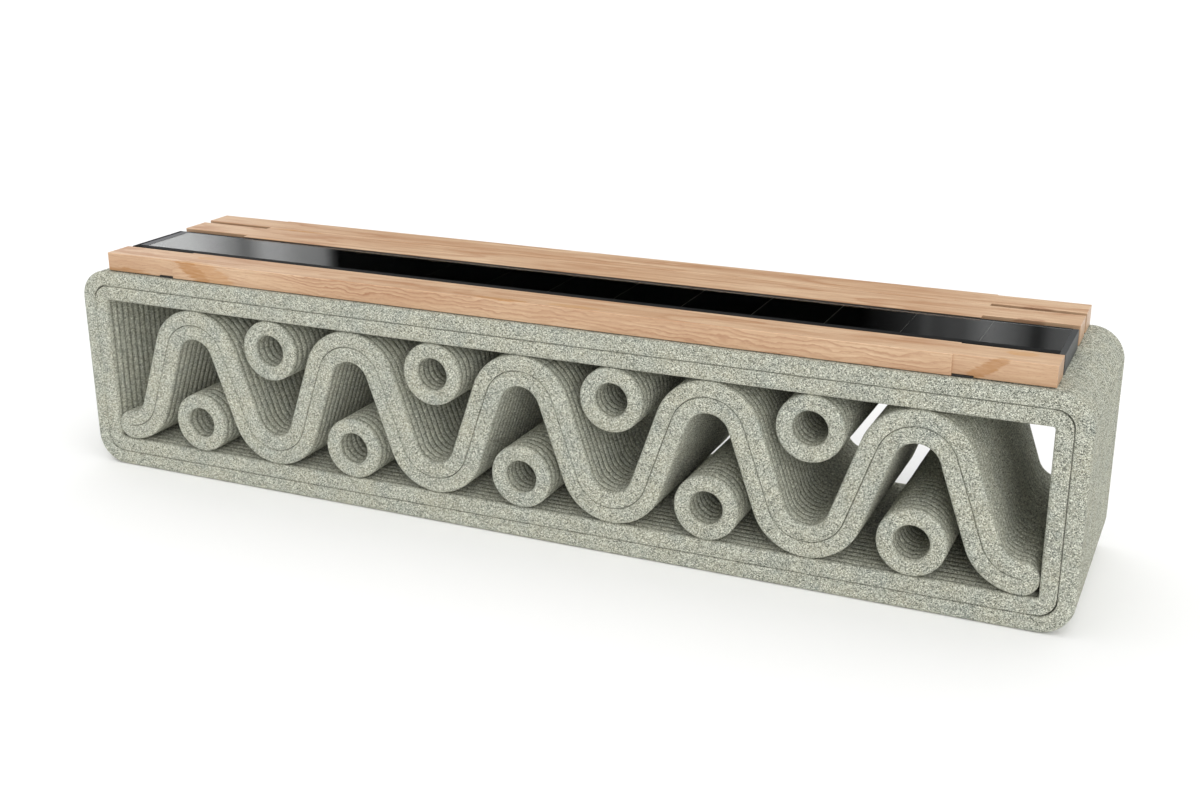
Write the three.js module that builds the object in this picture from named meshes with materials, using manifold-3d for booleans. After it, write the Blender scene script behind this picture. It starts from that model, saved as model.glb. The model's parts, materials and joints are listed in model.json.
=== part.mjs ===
// Street bench of printed concrete with timber slats and a solar charging unit in the seat.
// Millimetres, +Z up. Origin on the ground, under the middle of the seat. X runs along the bench,
// the front of the bench faces -Y.

import * as THREE from 'three';
import { mergeVertices } from 'three/addons/utils/BufferGeometryUtils.js';
import Module from 'manifold-3d';

const wasm = await Module();
wasm.setup();

// Driving dimensions

const benchLength = 2000;
const benchDepth = 411;
const beadWidth = 30.5;          // one printed bead, seen from the front
const clearHeight = 295;         // between the lower and the upper pair of beads
const slatThickness = 36.2;
const deckSetback = 65.5;        // slats and solar housing behind the ends of the printed body
const clearance = 0.3;           // between pieces that seat on each other
const overrun = 4;               // how far a cutting body passes the face that it cuts

// Printed body

const edgeBevel = 3.5;           // softened bead edge on the front and back faces
const seamWidth = 0.8;           // foot of the groove between two beads
const beadBond = 1;              // how far touching beads are pressed into each other
const waveCount = 5;             // crests of the infill wave
const waveRadius = 70;           // bend of the seam line at each crest and trough
const turnSteps = 10;            // facets of one bend of the wave
const cornerSteps = 6;           // facets of a quarter round corner
const hairpinSteps = 8;          // facets of a half round bead end
const pipeSteps = 16;            // facets of the outside of a printed pipe
const boreSteps = 12;            // facets of the inside of a printed pipe

// Slats: one in front of the solar housing and two behind it, each narrower at both ends

const frontSetback = 9.2;        // front slat behind the front of the printed body
const frontGap = 7.4;            // front slat to housing
const middleGap = 16.7;          // housing to the narrow end of the middle slat
const rearGap = 18.1;            // between the narrow ends of the middle slat and the rear slat
const rearSlatShare = 0.3355;    // narrow face of the rear slat, from the middle plane, of the depth
const rearSetback = 4;
const shoulderSetback = 163.5;   // shoulder of a slat behind its end
const sideStep = 4;              // narrow end behind the free side of a slat
const slatArris = 0.8;

// Steel bars under the deck, one beside each pair of shoulders

const plateThickness = 2.5;
const plateLength = 34;          // along the bench
const plateInset = 1.3;          // bar end behind the faces of the slats
const plateCorner = 1.5;
const studDiameter = 10;
const studLength = 45;
const studSteps = 10;
const resinGap = 2;              // resin around a stud
const slatScrewSpacing = 30;     // pitch of the two screws of one slat, across the bench
const slatScrewDiameter = 5;
const slatScrewHead = 9.6;
const slatScrewLength = 26;
const slatScrewTip = 3.5;
const screwSteps = 8;
const housingBoltOffset = 48;    // towards the front, clear of the cables
const housingBoltDiameter = 6;
const housingBoltHead = 11;
const housingBoltLength = 12;
const housingNutWidth = 10;
const housingNutHeight = 4;
const nutSides = 6;

// Solar housing

const housingWidth = 155.5;
const housingMiddleShare = 0.0974; // housing in front of the middle plane, of the bench depth
const housingTopDrop = 2.3;      // housing top below the slat tops
const housingWall = 2.2;
const housingFloor = 2.2;
const frontRimWidth = 17;
const rearRimWidth = 4;
const ledgeWidth = 6;
const leftCapLength = 24;
const rightCapLength = 9.5;
const capCorner = 2;
const capSpigot = 14;
const glassThickness = 3.2;
const glassSink = 0.4;           // glass surface below the rim
const cellCount = 14;
const cellGap = 1.4;
const cellThickness = 0.5;
const cellMargin = 1.5;          // bare glass beside the cells
const sheetThickness = 0.6;
const tapeThickness = 1.2;
const padLength = 900;           // one strip between the bars
const padInset = 13;             // pad edge behind the housing sides

// Electric pieces inside the housing

const batteryCellDiameter = 18.2;
const batteryMargin = 10.5;      // pack to housing wall
const batteryRow = 10;           // cells side by side in one pack
const batteryPlaceShare = 0.428; // middle of a pack, of the way from the middle to the shoulder
const batteryCellSteps = 8;
const wrapThickness = 0.3;
const controllerLength = 110;
const controllerWidth = 76;
const controllerHeight = 17;
const controllerPlaceShare = 0.895;
const controllerFoot = 9;
const finCount = 9;
const finHeight = 4;
const junctionLength = 60;
const junctionWidth = 34;
const junctionHeight = 9;
const junctionCorner = 3;
const junctionGap = 44;          // controller to junction box
const socketWidth = 13.2;
const socketHeight = 5.8;
const socketWall = 0.6;
const socketDepth = 15;
const socketCoverDepth = 4;      // rubber plug in the mouth of a socket
const socketSpacing = 34;
const tongueHeight = 1.8;
const socketBoardLength = 40;
const socketBoardWidth = 70;
const socketBoardThickness = 1.6;
const cableDiameter = 6;
const cableBend = 18;
const cableSides = 8;
const cableSteps = 12;
const cableLaneShare = 0.373;    // cable routes beside the middle of the housing, of its width

// Derived levels and places

const frameInset = 2 * beadWidth;
const bodyHeight = clearHeight + 2 * frameInset;
const cellFloor = frameInset;
const cellCeiling = bodyHeight - frameInset;
const plateBottom = bodyHeight + clearance;
const plateTop = plateBottom + plateThickness;
const slatBottom = bodyHeight + clearance;
const slatTop = slatBottom + slatThickness;
const deckEnd = benchLength / 2 - deckSetback;
const shoulderPlace = deckEnd - shoulderSetback;
const plateInnerEnd = shoulderPlace + clearance;
const plateOuterEnd = plateInnerEnd + plateLength;
const plateMiddle = plateInnerEnd + plateLength / 2;
const housingTop = slatTop - housingTopDrop;
const housingBottom = plateTop + clearance;
const housingMiddle = -housingMiddleShare * benchDepth;
const housingFront = housingMiddle - housingWidth / 2;
const housingBack = housingMiddle + housingWidth / 2;
const housingFloorTop = housingBottom + housingFloor;
const floorSeat = housingFloorTop + clearance;
const trayLeft = -deckEnd + leftCapLength + clearance;
const trayRight = deckEnd - rightCapLength - clearance;
const cellPitch = (trayRight - trayLeft) / cellCount;
const batteryPlace = batteryPlaceShare * shoulderPlace;
const controllerPlace = -controllerPlaceShare * shoulderPlace;
const junctionPlace = controllerPlace + controllerLength / 2 + junctionGap + junctionLength / 2;
const glassTop = housingTop - glassSink;
const glassBottom = glassTop - glassThickness;
const cellTop = glassBottom - clearance;
const cellBottom = cellTop - cellThickness;
const sheetTop = cellBottom - clearance;
const sheetBottom = sheetTop - sheetThickness;
const tapeTop = sheetBottom - clearance;
const tapeBottom = tapeTop - tapeThickness;
const ledgeTop = tapeBottom - clearance;
const ledgeBottom = ledgeTop - housingWall;
const tapeWidth = ledgeWidth - clearance;
const cableLane = cableLaneShare * housingWidth;
const batteryCellLength = housingWidth / 2 - housingWall - batteryMargin;
const deckFront = frontSetback - benchDepth / 2;
const deckBack = benchDepth / 2 - rearSetback;
const frontSlatBack = housingFront - frontGap;
const rearSlatFace = rearSlatShare * benchDepth;
const rearJoint = rearSlatFace - rearGap / 2;
const slats = [
  {
    name: 'slat_front',
    wide: { face: deckFront, back: frontSlatBack },
    narrow: { face: deckFront + sideStep, back: frontSlatBack - sideStep },
  },
  {
    name: 'slat_middle',
    wide: { face: housingBack + clearance, back: rearJoint - clearance / 2 },
    narrow: { face: housingBack + middleGap, back: rearSlatFace - rearGap },
  },
  {
    name: 'slat_rear',
    wide: { face: rearJoint + clearance / 2, back: deckBack },
    narrow: { face: rearSlatFace, back: deckBack - sideStep },
  },
];
const studRows = [(frontSlatBack + housingFront) / 2, rearJoint];
const ends = [
  { name: 'left', side: -1 },
  { name: 'right', side: 1 },
];

// Materials

const materials = {
  concrete: new THREE.MeshStandardMaterial({ color: 0xafb1a3, roughness: 0.95, metalness: 0 }),
  timber: new THREE.MeshStandardMaterial({ color: 0xcfac8e, roughness: 0.6, metalness: 0 }),
  blackSteel: new THREE.MeshStandardMaterial({ color: 0x1c1d1e, roughness: 0.5, metalness: 0.6 }),
  zincSteel: new THREE.MeshStandardMaterial({ color: 0xb4b8ba, roughness: 0.35, metalness: 1 }),
  resin: new THREE.MeshStandardMaterial({ color: 0x8c8a80, roughness: 0.7, metalness: 0 }),
  blackAluminium: new THREE.MeshStandardMaterial({ color: 0x2f3131, roughness: 0.45, metalness: 0.5 }),
  greyPlastic: new THREE.MeshStandardMaterial({ color: 0x5f6163, roughness: 0.5, metalness: 0 }),
  blackPlastic: new THREE.MeshStandardMaterial({ color: 0x1a1b1c, roughness: 0.6, metalness: 0 }),
  glass: new THREE.MeshStandardMaterial({
    color: 0xdde6e6,
    roughness: 0.05,
    metalness: 0,
    transparent: true,
    opacity: 0.25,
  }),
  solarCell: new THREE.MeshStandardMaterial({ color: 0x04050a, roughness: 0.25, metalness: 0.2 }),
  backSheet: new THREE.MeshStandardMaterial({ color: 0x4a4c50, roughness: 0.6, metalness: 0 }),
  rubber: new THREE.MeshStandardMaterial({ color: 0x151515, roughness: 0.85, metalness: 0 }),
  batteryWrap: new THREE.MeshStandardMaterial({ color: 0x2f6f9c, roughness: 0.35, metalness: 0 }),
  circuitBoard: new THREE.MeshStandardMaterial({ color: 0x1f5a36, roughness: 0.5, metalness: 0 }),
};

const bench = new THREE.Group();

// Solids: joining, cutting and naming

function toSolid(geometry) {
  const bare = geometry.index ? geometry.toNonIndexed() : geometry.clone();
  bare.deleteAttribute('normal');
  bare.deleteAttribute('uv');
  const merged = mergeVertices(bare, 1e-4);
  const mesh = new wasm.Mesh({
    numProp: 3,
    vertProperties: new Float32Array(merged.attributes.position.array),
    triVerts: new Uint32Array(merged.index.array),
  });
  mesh.merge();
  return new wasm.Manifold(mesh);
}

function toGeometry(solid) {
  const mesh = solid.getMesh();
  const geometry = new THREE.BufferGeometry();
  geometry.setAttribute('position', new THREE.BufferAttribute(mesh.vertProperties, mesh.numProp));
  geometry.setIndex(new THREE.BufferAttribute(mesh.triVerts, 1));
  return geometry;
}

function join(geometries) {
  return toGeometry(geometries.map(toSolid).reduce((whole, piece) => whole.add(piece)));
}

function cut(geometry, tools) {
  const cutter = tools.map(toSolid).reduce((whole, piece) => whole.add(piece));
  return toGeometry(toSolid(geometry).subtract(cutter));
}

function place(name, geometry, material) {
  const mesh = new THREE.Mesh(geometry, material);
  mesh.name = name;
  mesh.geometry.computeVertexNormals();
  bench.add(mesh);
}

// Basic forms

// An outline in X and Z that runs through the bench from the front face to the back face
function acrossBench(shape, frontFace, width, bevel) {
  const geometry = new THREE.ExtrudeGeometry(shape, {
    depth: width - 2 * bevel,
    bevelEnabled: bevel > 0,
    bevelThickness: bevel,
    bevelSize: bevel,
    bevelOffset: -bevel,
    bevelSegments: 1,
    steps: 1,
  });
  geometry.rotateX(Math.PI / 2);
  geometry.translate(0, frontFace + width - bevel, 0);
  return geometry;
}

// An outline in Y and Z that runs along the bench from one X to another
function alongBench(shape, from, to) {
  const geometry = new THREE.ExtrudeGeometry(shape, { depth: to - from, bevelEnabled: false, steps: 1 });
  geometry.rotateX(Math.PI / 2);
  geometry.rotateZ(Math.PI / 2);
  geometry.translate(from, 0, 0);
  return geometry;
}

// An outline in X and Y that stands up from one Z to another
function upright(shape, bottom, top) {
  const geometry = new THREE.ExtrudeGeometry(shape, { depth: top - bottom, bevelEnabled: false, steps: 1 });
  geometry.translate(0, 0, bottom);
  return geometry;
}

function block(left, right, front, back, bottom, top) {
  const geometry = new THREE.BoxGeometry(right - left, back - front, top - bottom);
  geometry.translate((left + right) / 2, (front + back) / 2, (bottom + top) / 2);
  return geometry;
}

// A turned piece that stands on the point x, y
function turned(profile, steps, x, y) {
  const geometry = new THREE.LatheGeometry(profile.map(([r, z]) => new THREE.Vector2(r, z)), steps);
  geometry.rotateX(Math.PI / 2);
  geometry.translate(x, y, 0);
  return geometry;
}

// Points of an arc about a centre
function arcPoints(centre, radius, from, to, steps) {
  const points = [];
  for (let i = 0; i <= steps; i += 1) {
    const angle = from + (to - from) * i / steps;
    points.push(new THREE.Vector2(
      centre.x + radius * Math.cos(angle),
      centre.y + radius * Math.sin(angle),
    ));
  }
  return points;
}

// The corners of a rectangle, round where it has a radius
function roundedOutline(left, right, low, high, radius, steps) {
  const corners = [
    { x: right - radius, y: high - radius, turn: 0 },
    { x: left + radius, y: high - radius, turn: 1 },
    { x: left + radius, y: low + radius, turn: 2 },
    { x: right - radius, y: low + radius, turn: 3 },
  ];
  if (radius <= 0) {
    return corners.map(({ x, y }) => new THREE.Vector2(x, y));
  }
  return corners.flatMap(({ x, y, turn }) => {
    const from = turn * Math.PI / 2;
    return arcPoints(new THREE.Vector2(x, y), radius, from, from + Math.PI / 2, steps);
  });
}

// Printed body. The frame is two beads that run side by side; the infill is a doubled bead that swings
// from the lower pair to the upper pair and turns back on itself at both ends, with a printed pipe in
// each of its bays.

const waveEnd = benchLength / 2 - frameInset - beadWidth + beadBond;
const waveLow = cellFloor + beadWidth - beadBond;
const waveHigh = cellCeiling - beadWidth + beadBond;
const waveStep = waveEnd / waveCount;
const lastBend = 2 * waveCount;
const bendRise = waveHigh - waveLow - 2 * waveRadius;
const bendAngle = Math.atan2(bendRise, waveStep)
  + Math.asin(2 * waveRadius / Math.hypot(waveStep, bendRise));

function bendPlace(bend) {
  return -waveEnd + bend * waveStep;
}

function isCrest(bend) {
  return bend % 2 === 1;
}

// The seam line of the wave: points on its bends, each with the normal that points up from the line
function seamLine() {
  const line = [];
  for (let bend = 0; bend <= lastBend; bend += 1) {
    const side = isCrest(bend) ? 1 : -1;
    const centre = isCrest(bend) ? waveHigh - waveRadius : waveLow + waveRadius;
    const from = bend === 0 ? 0 : -bendAngle;
    const to = bend === lastBend ? 0 : bendAngle;
    const steps = to - from > bendAngle ? turnSteps : turnSteps / 2;
    for (let i = 0; i <= steps; i += 1) {
      const angle = from + (to - from) * i / steps;
      const normal = new THREE.Vector2(side * Math.sin(angle), Math.cos(angle));
      const point = new THREE.Vector2(bendPlace(bend), centre).addScaledVector(normal, side * waveRadius);
      line.push({ point, normal });
    }
  }
  return line;
}

// The closed outline at one distance all round the seam line, with half round ends
function loopAround(line, distance, endSteps) {
  const upper = line.map(({ point, normal }) => point.clone().addScaledVector(normal, distance));
  const lower = line.map(({ point, normal }) => point.clone().addScaledVector(normal, -distance));
  const first = line[0].point;
  const last = line[line.length - 1].point;
  const rightEnd = arcPoints(last, distance, Math.PI / 2, -Math.PI / 2, endSteps).slice(1, -1);
  const leftEnd = arcPoints(first, distance, -Math.PI / 2, -Math.PI * 3 / 2, endSteps).slice(1, -1);
  return [...upper, ...rightEnd, ...lower.reverse(), ...leftEnd];
}

// The frame outline at one distance inside the outer outline
function frameOutline(inset) {
  return roundedOutline(
    -benchLength / 2 + inset,
    benchLength / 2 - inset,
    inset,
    bodyHeight - inset,
    frameInset - inset,
    cornerSteps,
  );
}

function ringShape(outer, inner) {
  const shape = new THREE.Shape(outer);
  shape.holes.push(new THREE.Path(inner));
  return shape;
}

function printedBody() {
  const front = -benchDepth / 2;
  const bondFront = front + edgeBevel;
  const bondDepth = benchDepth - 2 * edgeBevel;
  const slit = seamWidth / 2;
  const line = seamLine();
  const beads = [
    ringShape(frameOutline(0), frameOutline(beadWidth - slit)),
    ringShape(frameOutline(beadWidth + slit), frameOutline(frameInset)),
    ringShape(loopAround(line, beadWidth, hairpinSteps), loopAround(line, slit, 2)),
  ];
  for (let bend = 1; bend < lastBend; bend += 1) {
    const seat = isCrest(bend) ? cellFloor + frameInset - beadBond : cellCeiling - frameInset + beadBond;
    const centre = new THREE.Vector2(bendPlace(bend), seat);
    const turn = Math.PI * 2;
    beads.push(ringShape(
      arcPoints(centre, frameInset, 0, turn, pipeSteps).slice(1),
      arcPoints(centre, beadWidth, 0, turn, boreSteps).slice(1),
    ));
  }
  const bonds = [
    ringShape(frameOutline(beadWidth - seamWidth), frameOutline(beadWidth + seamWidth)),
    new THREE.Shape(loopAround(line, seamWidth, 2)),
  ];
  const body = join([
    ...beads.map((shape) => acrossBench(shape, front, benchDepth, edgeBevel)),
    ...bonds.map((shape) => acrossBench(shape, bondFront, bondDepth, 0)),
  ]);
  const holes = ends.flatMap(({ side }) => studPlaces(side).map(([x, y]) => turned([
    [0, resinBottom - clearance],
    [resinRadius + clearance, resinBottom - clearance],
    [resinRadius + clearance, bodyHeight + overrun],
    [0, bodyHeight + overrun],
  ], studSteps, x, y)));
  return cut(body, holes);
}

// Bars, studs and fasteners

const studRadius = studDiameter / 2;
const studBottom = plateBottom - studLength;
const resinRadius = studRadius + clearance + resinGap;
const resinBottom = studBottom - clearance - resinGap;

function studPlaces(side) {
  return studRows.map((y) => [side * plateMiddle, y]);
}

function slatScrewPlaces(side, slat) {
  const middle = (slat.narrow.face + slat.narrow.back) / 2;
  return [-1, 1].map((row) => [side * plateMiddle, middle + row * slatScrewSpacing / 2]);
}

function housingBoltPlace(side) {
  return [side * plateMiddle, housingMiddle - housingBoltOffset];
}

// A countersunk fastener, head down. With a margin it is the cutter of its own hole.
function countersunk(head, shank, length, tip, margin, x, y) {
  const headRadius = head / 2;
  const shankRadius = shank / 2;
  const low = margin > 0 ? plateBottom - overrun : plateBottom;
  const profile = [
    [0, low],
    [headRadius + margin, low],
    [headRadius + margin, plateBottom],
    [shankRadius + margin, plateBottom + headRadius - shankRadius],
    [shankRadius + margin, plateBottom + length - tip],
    [shankRadius - tip / 2, plateBottom + length + margin],
    [0, plateBottom + length + margin],
  ];
  const flush = profile.filter((corner, i) => i === 0 || corner[0] !== profile[i - 1][0]
    || corner[1] !== profile[i - 1][1]);
  return turned(flush, screwSteps, x, y);
}

function slatScrew(x, y, margin) {
  return countersunk(slatScrewHead, slatScrewDiameter, slatScrewLength, slatScrewTip, margin, x, y);
}

function housingBolt(x, y, margin) {
  return countersunk(housingBoltHead, housingBoltDiameter, housingBoltLength, 0, margin, x, y);
}

function mountPlate(side) {
  const front = deckFront + plateInset;
  const back = deckBack - plateInset;
  const inner = side * plateInnerEnd;
  const outer = side * plateOuterEnd;
  const outline = roundedOutline(
    Math.min(inner, outer),
    Math.max(inner, outer),
    front,
    back,
    plateCorner,
    cornerSteps / 2,
  );
  const plate = upright(new THREE.Shape(outline), plateBottom, plateTop);
  const studs = studPlaces(side).map(([x, y]) => turned([
    [0, studBottom],
    [studRadius, studBottom],
    [studRadius, plateBottom + plateThickness / 2],
    [0, plateBottom + plateThickness / 2],
  ], studSteps, x, y));
  const holes = [
    ...slats.flatMap((slat) => slatScrewPlaces(side, slat).map(([x, y]) => slatScrew(x, y, clearance))),
    housingBolt(...housingBoltPlace(side), clearance),
  ];
  return cut(join([plate, ...studs]), holes);
}

function anchorResin(x, y) {
  return turned([
    [0, resinBottom],
    [resinRadius, resinBottom],
    [resinRadius, bodyHeight],
    [studRadius + clearance, bodyHeight],
    [studRadius + clearance, studBottom - clearance],
    [0, studBottom - clearance],
  ], studSteps, x, y);
}

function housingNut(x, y) {
  const centre = new THREE.Vector2(x, y);
  const across = housingNutWidth / 2 / Math.cos(Math.PI / nutSides);
  const bore = housingBoltDiameter / 2 + clearance;
  const shape = ringShape(
    arcPoints(centre, across, 0, Math.PI * 2, nutSides).slice(1),
    arcPoints(centre, bore, 0, Math.PI * 2, screwSteps).slice(1),
  );
  return upright(shape, floorSeat, floorSeat + housingNutHeight);
}

// Slats: wide between the shoulders, narrow beside them, with a housing for the bar at each shoulder

function slatGeometry(slat) {
  const { wide, narrow } = slat;
  const rebate = plateTop + clearance;
  const rebateEnd = plateOuterEnd + clearance;
  const right = [
    [shoulderPlace, slatBottom],
    [shoulderPlace, rebate],
    [rebateEnd, rebate],
    [rebateEnd, slatBottom],
    [deckEnd, slatBottom],
    [deckEnd, slatTop],
  ];
  const left = right.map(([x, z]) => [-x, z]).reverse();
  const full = new THREE.Shape([...right, ...left].map(([x, z]) => new THREE.Vector2(x, z)));
  const middle = new THREE.Shape(roundedOutline(
    -shoulderPlace,
    shoulderPlace,
    slatBottom,
    slatTop,
    0,
  ));
  const bores = ends.flatMap(({ side }) => slatScrewPlaces(side, slat)
    .map(([x, y]) => slatScrew(x, y, clearance)));
  return cut(join([
    acrossBench(full, narrow.face, narrow.back - narrow.face, slatArris),
    acrossBench(middle, wide.face, wide.back - wide.face, slatArris),
  ]), bores);
}

// Housing: an extruded tray with a broad hooked rim in front and a thin one at the back, closed by the
// laminate and the end caps

const rimFront = housingFront + frontRimWidth;
const rimBack = housingBack - rearRimWidth;
const glassFront = rimFront + clearance;
const glassBack = rimBack - clearance;

function trayGeometry() {
  const outline = [
    [housingBack, housingBottom],
    [housingBack, housingTop],
    [rimBack, housingTop],
    [rimBack, ledgeTop],
    [rimBack - ledgeWidth, ledgeTop],
    [rimBack - ledgeWidth, ledgeBottom],
    [housingBack - housingWall, ledgeBottom],
    [housingBack - housingWall, housingFloorTop],
    [housingFront + housingWall, housingFloorTop],
    [housingFront + housingWall, housingTop - housingWall],
    [rimFront - housingWall, housingTop - housingWall],
    [rimFront - housingWall, ledgeBottom],
    [rimFront + ledgeWidth, ledgeBottom],
    [rimFront + ledgeWidth, ledgeTop],
    [rimFront, ledgeTop],
    [rimFront, housingTop],
    [housingFront, housingTop],
    [housingFront, housingBottom],
  ];
  const section = new THREE.Shape(outline.map(([y, z]) => new THREE.Vector2(y, z)));
  const tray = alongBench(section, trayLeft, trayRight);
  return cut(tray, ends.map(({ side }) => housingBolt(...housingBoltPlace(side), clearance)));
}

function endCap(outerEnd, innerEnd, spigotEnd) {
  const face = roundedOutline(
    housingFront,
    housingBack,
    slatBottom,
    housingTop,
    capCorner,
    cornerSteps / 2,
  );
  const inset = housingWall + clearance;
  const spigot = [
    [housingBack - inset, floorSeat],
    [housingBack - inset, ledgeBottom - clearance],
    [rimBack - ledgeWidth - clearance, ledgeBottom - clearance],
    [rimBack - ledgeWidth - clearance, ledgeTop],
    [rimFront + ledgeWidth + clearance, ledgeTop],
    [rimFront + ledgeWidth + clearance, ledgeBottom - clearance],
    [housingFront + inset, ledgeBottom - clearance],
    [housingFront + inset, floorSeat],
  ];
  return join([
    alongBench(new THREE.Shape(face), Math.min(outerEnd, innerEnd), Math.max(outerEnd, innerEnd)),
    alongBench(
      new THREE.Shape(spigot.map(([y, z]) => new THREE.Vector2(y, z))),
      Math.min(outerEnd, spigotEnd),
      Math.max(outerEnd, spigotEnd),
    ),
  ]);
}

const socketMiddle = (housingFloorTop + ledgeBottom) / 2;
const socketEnd = -deckEnd + leftCapLength + capSpigot;
const socketPlaces = [-1, 1].map((row) => housingMiddle + row * socketSpacing / 2);

function socketBlock(place, from, to, margin) {
  return block(
    from,
    to,
    place - socketWidth / 2 - margin,
    place + socketWidth / 2 + margin,
    socketMiddle - socketHeight / 2 - margin,
    socketMiddle + socketHeight / 2 + margin,
  );
}

const socketMouth = -deckEnd + socketCoverDepth + clearance;

function chargingSocket(place) {
  const body = socketBlock(place, socketMouth, socketEnd, 0);
  const cavity = socketBlock(place, socketMouth - overrun, socketMouth + socketDepth, -socketWall);
  const tongue = block(
    socketMouth + socketWall,
    socketMouth + socketDepth + socketWall,
    place - socketWidth / 2 + 2 * socketWall,
    place + socketWidth / 2 - 2 * socketWall,
    socketMiddle,
    socketMiddle + tongueHeight,
  );
  return join([cut(body, [cavity]), tongue]);
}

// Electric pieces on the housing floor

function batteryPack(place) {
  const radius = batteryCellDiameter / 2 + wrapThickness;
  const centreZ = floorSeat + radius;
  const first = place - batteryCellDiameter * (batteryRow - 1) / 2;
  const centres = Array.from({ length: batteryRow }, (unused, i) => new THREE.Vector2(
    first + i * batteryCellDiameter,
    centreZ,
  ));
  const valley = Math.acos(batteryCellDiameter / 2 / radius);
  const upper = centres.flatMap((centre, i) => {
    const from = i === 0 ? Math.PI : Math.PI - valley;
    const to = i === batteryRow - 1 ? 0 : valley;
    return arcPoints(centre, radius, from, to, batteryCellSteps / 2).slice(0, -1);
  });
  const lower = centres.toReversed().flatMap((centre, i) => {
    const from = i === 0 ? 0 : -valley;
    const to = i === batteryRow - 1 ? -Math.PI : valley - Math.PI;
    return arcPoints(centre, radius, from, to, batteryCellSteps / 2).slice(0, -1);
  });
  const depth = 2 * batteryCellLength;
  return acrossBench(new THREE.Shape([...upper, ...lower]), housingMiddle - depth / 2, depth, 0);
}

function controllerGeometry() {
  const half = controllerWidth / 2;
  const fins = [];
  const pitch = controllerWidth / (2 * finCount - 1);
  const top = floorSeat + controllerHeight;
  for (let i = 0; i < finCount; i += 1) {
    const left = half - 2 * i * pitch;
    fins.push([left, top], [left - pitch, top]);
    if (i < finCount - 1) {
      fins.push([left - pitch, top - finHeight], [left - 2 * pitch, top - finHeight]);
    }
  }
  const outline = [
    [-half - controllerFoot, floorSeat],
    [half + controllerFoot, floorSeat],
    [half + controllerFoot, floorSeat + housingFloor],
    [half, floorSeat + housingFloor],
    ...fins,
    [-half, floorSeat + housingFloor],
    [-half - controllerFoot, floorSeat + housingFloor],
  ];
  const shape = new THREE.Shape(outline.map(([y, z]) => new THREE.Vector2(housingMiddle + y, z)));
  return alongBench(
    shape,
    controllerPlace - controllerLength / 2,
    controllerPlace + controllerLength / 2,
  );
}

const junctionTop = sheetBottom - clearance;
const cableZ = floorSeat + cableDiameter / 2;

// A cable between two faces that look at each other along the bench, with a swerve to its lane
function cable(from, to, fromPoint, toPoint, lane) {
  const start = new THREE.Vector3(from + clearance, fromPoint.y, fromPoint.z);
  const end = new THREE.Vector3(to - clearance, toPoint.y, toPoint.z);
  const lead = Math.min(cableBend, (end.x - start.x) / 4);
  const path = new THREE.CatmullRomCurve3([
    start,
    start.clone().add(new THREE.Vector3(lead / 2, 0, 0)),
    new THREE.Vector3(start.x + lead * 3 / 2, (start.y + lane) / 2, (start.z + cableZ) / 2),
    new THREE.Vector3((start.x + end.x) / 2, lane, cableZ),
    new THREE.Vector3(end.x - lead * 3 / 2, (end.y + lane) / 2, (end.z + cableZ) / 2),
    end.clone().sub(new THREE.Vector3(lead / 2, 0, 0)),
    end,
  ]);
  const centre = new THREE.Vector2(0, 0);
  const section = new THREE.Shape(arcPoints(centre, cableDiameter / 2, 0, Math.PI * 2, cableSides).slice(1));
  return new THREE.ExtrudeGeometry(section, { extrudePath: path, steps: cableSteps, bevelEnabled: false });
}

// Assembly

place('printed_body', printedBody(), materials.concrete);

for (const slat of slats) {
  place(slat.name, slatGeometry(slat), materials.timber);
}

for (const { name, side } of ends) {
  place(`mount_plate_${name}`, mountPlate(side), materials.blackSteel);
  studPlaces(side).forEach(([x, y], i) => {
    place(`anchor_resin_${name}_${i + 1}`, anchorResin(x, y), materials.resin);
  });
  for (const slat of slats) {
    slatScrewPlaces(side, slat).forEach(([x, y], i) => {
      place(`screw_${slat.name}_${name}_${i + 1}`, slatScrew(x, y, 0), materials.zincSteel);
    });
  }
  place(`housing_bolt_${name}`, housingBolt(...housingBoltPlace(side), 0), materials.zincSteel);
  place(`housing_nut_${name}`, housingNut(...housingBoltPlace(side)), materials.zincSteel);
}

place('housing_tray', trayGeometry(), materials.blackAluminium);
place('end_cap_right', endCap(
  deckEnd,
  deckEnd - rightCapLength,
  deckEnd - rightCapLength - capSpigot,
), materials.greyPlastic);
const leftCap = endCap(-deckEnd, -deckEnd + leftCapLength, socketEnd);
place('end_cap_left', cut(leftCap, socketPlaces.map((y) => socketBlock(
  y,
  -deckEnd - overrun,
  socketEnd + overrun,
  clearance,
))), materials.blackPlastic);

place('cover_glass', block(
  trayLeft,
  trayRight,
  glassFront,
  glassBack,
  glassBottom,
  glassTop,
), materials.glass);
for (let i = 0; i < cellCount; i += 1) {
  const left = trayLeft + i * cellPitch + cellGap / 2;
  place(`solar_cell_${String(i + 1).padStart(2, '0')}`, block(
    left,
    left + cellPitch - cellGap,
    glassFront + cellMargin,
    glassBack - cellMargin,
    cellBottom,
    cellTop,
  ), materials.solarCell);
}
place('back_sheet', block(
  trayLeft,
  trayRight,
  glassFront,
  glassBack,
  sheetBottom,
  sheetTop,
), materials.backSheet);
place('glazing_tape', upright(ringShape(
  roundedOutline(trayLeft, trayRight, glassFront, glassBack, 0),
  roundedOutline(
    trayLeft + tapeWidth,
    trayRight - tapeWidth,
    glassFront + tapeWidth,
    glassBack - tapeWidth,
    0,
  ),
), tapeBottom, tapeTop), materials.rubber);

place('housing_pad', block(
  -padLength / 2,
  padLength / 2,
  housingFront + padInset,
  housingBack - padInset,
  bodyHeight + clearance,
  housingBottom - clearance,
), materials.rubber);

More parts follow.
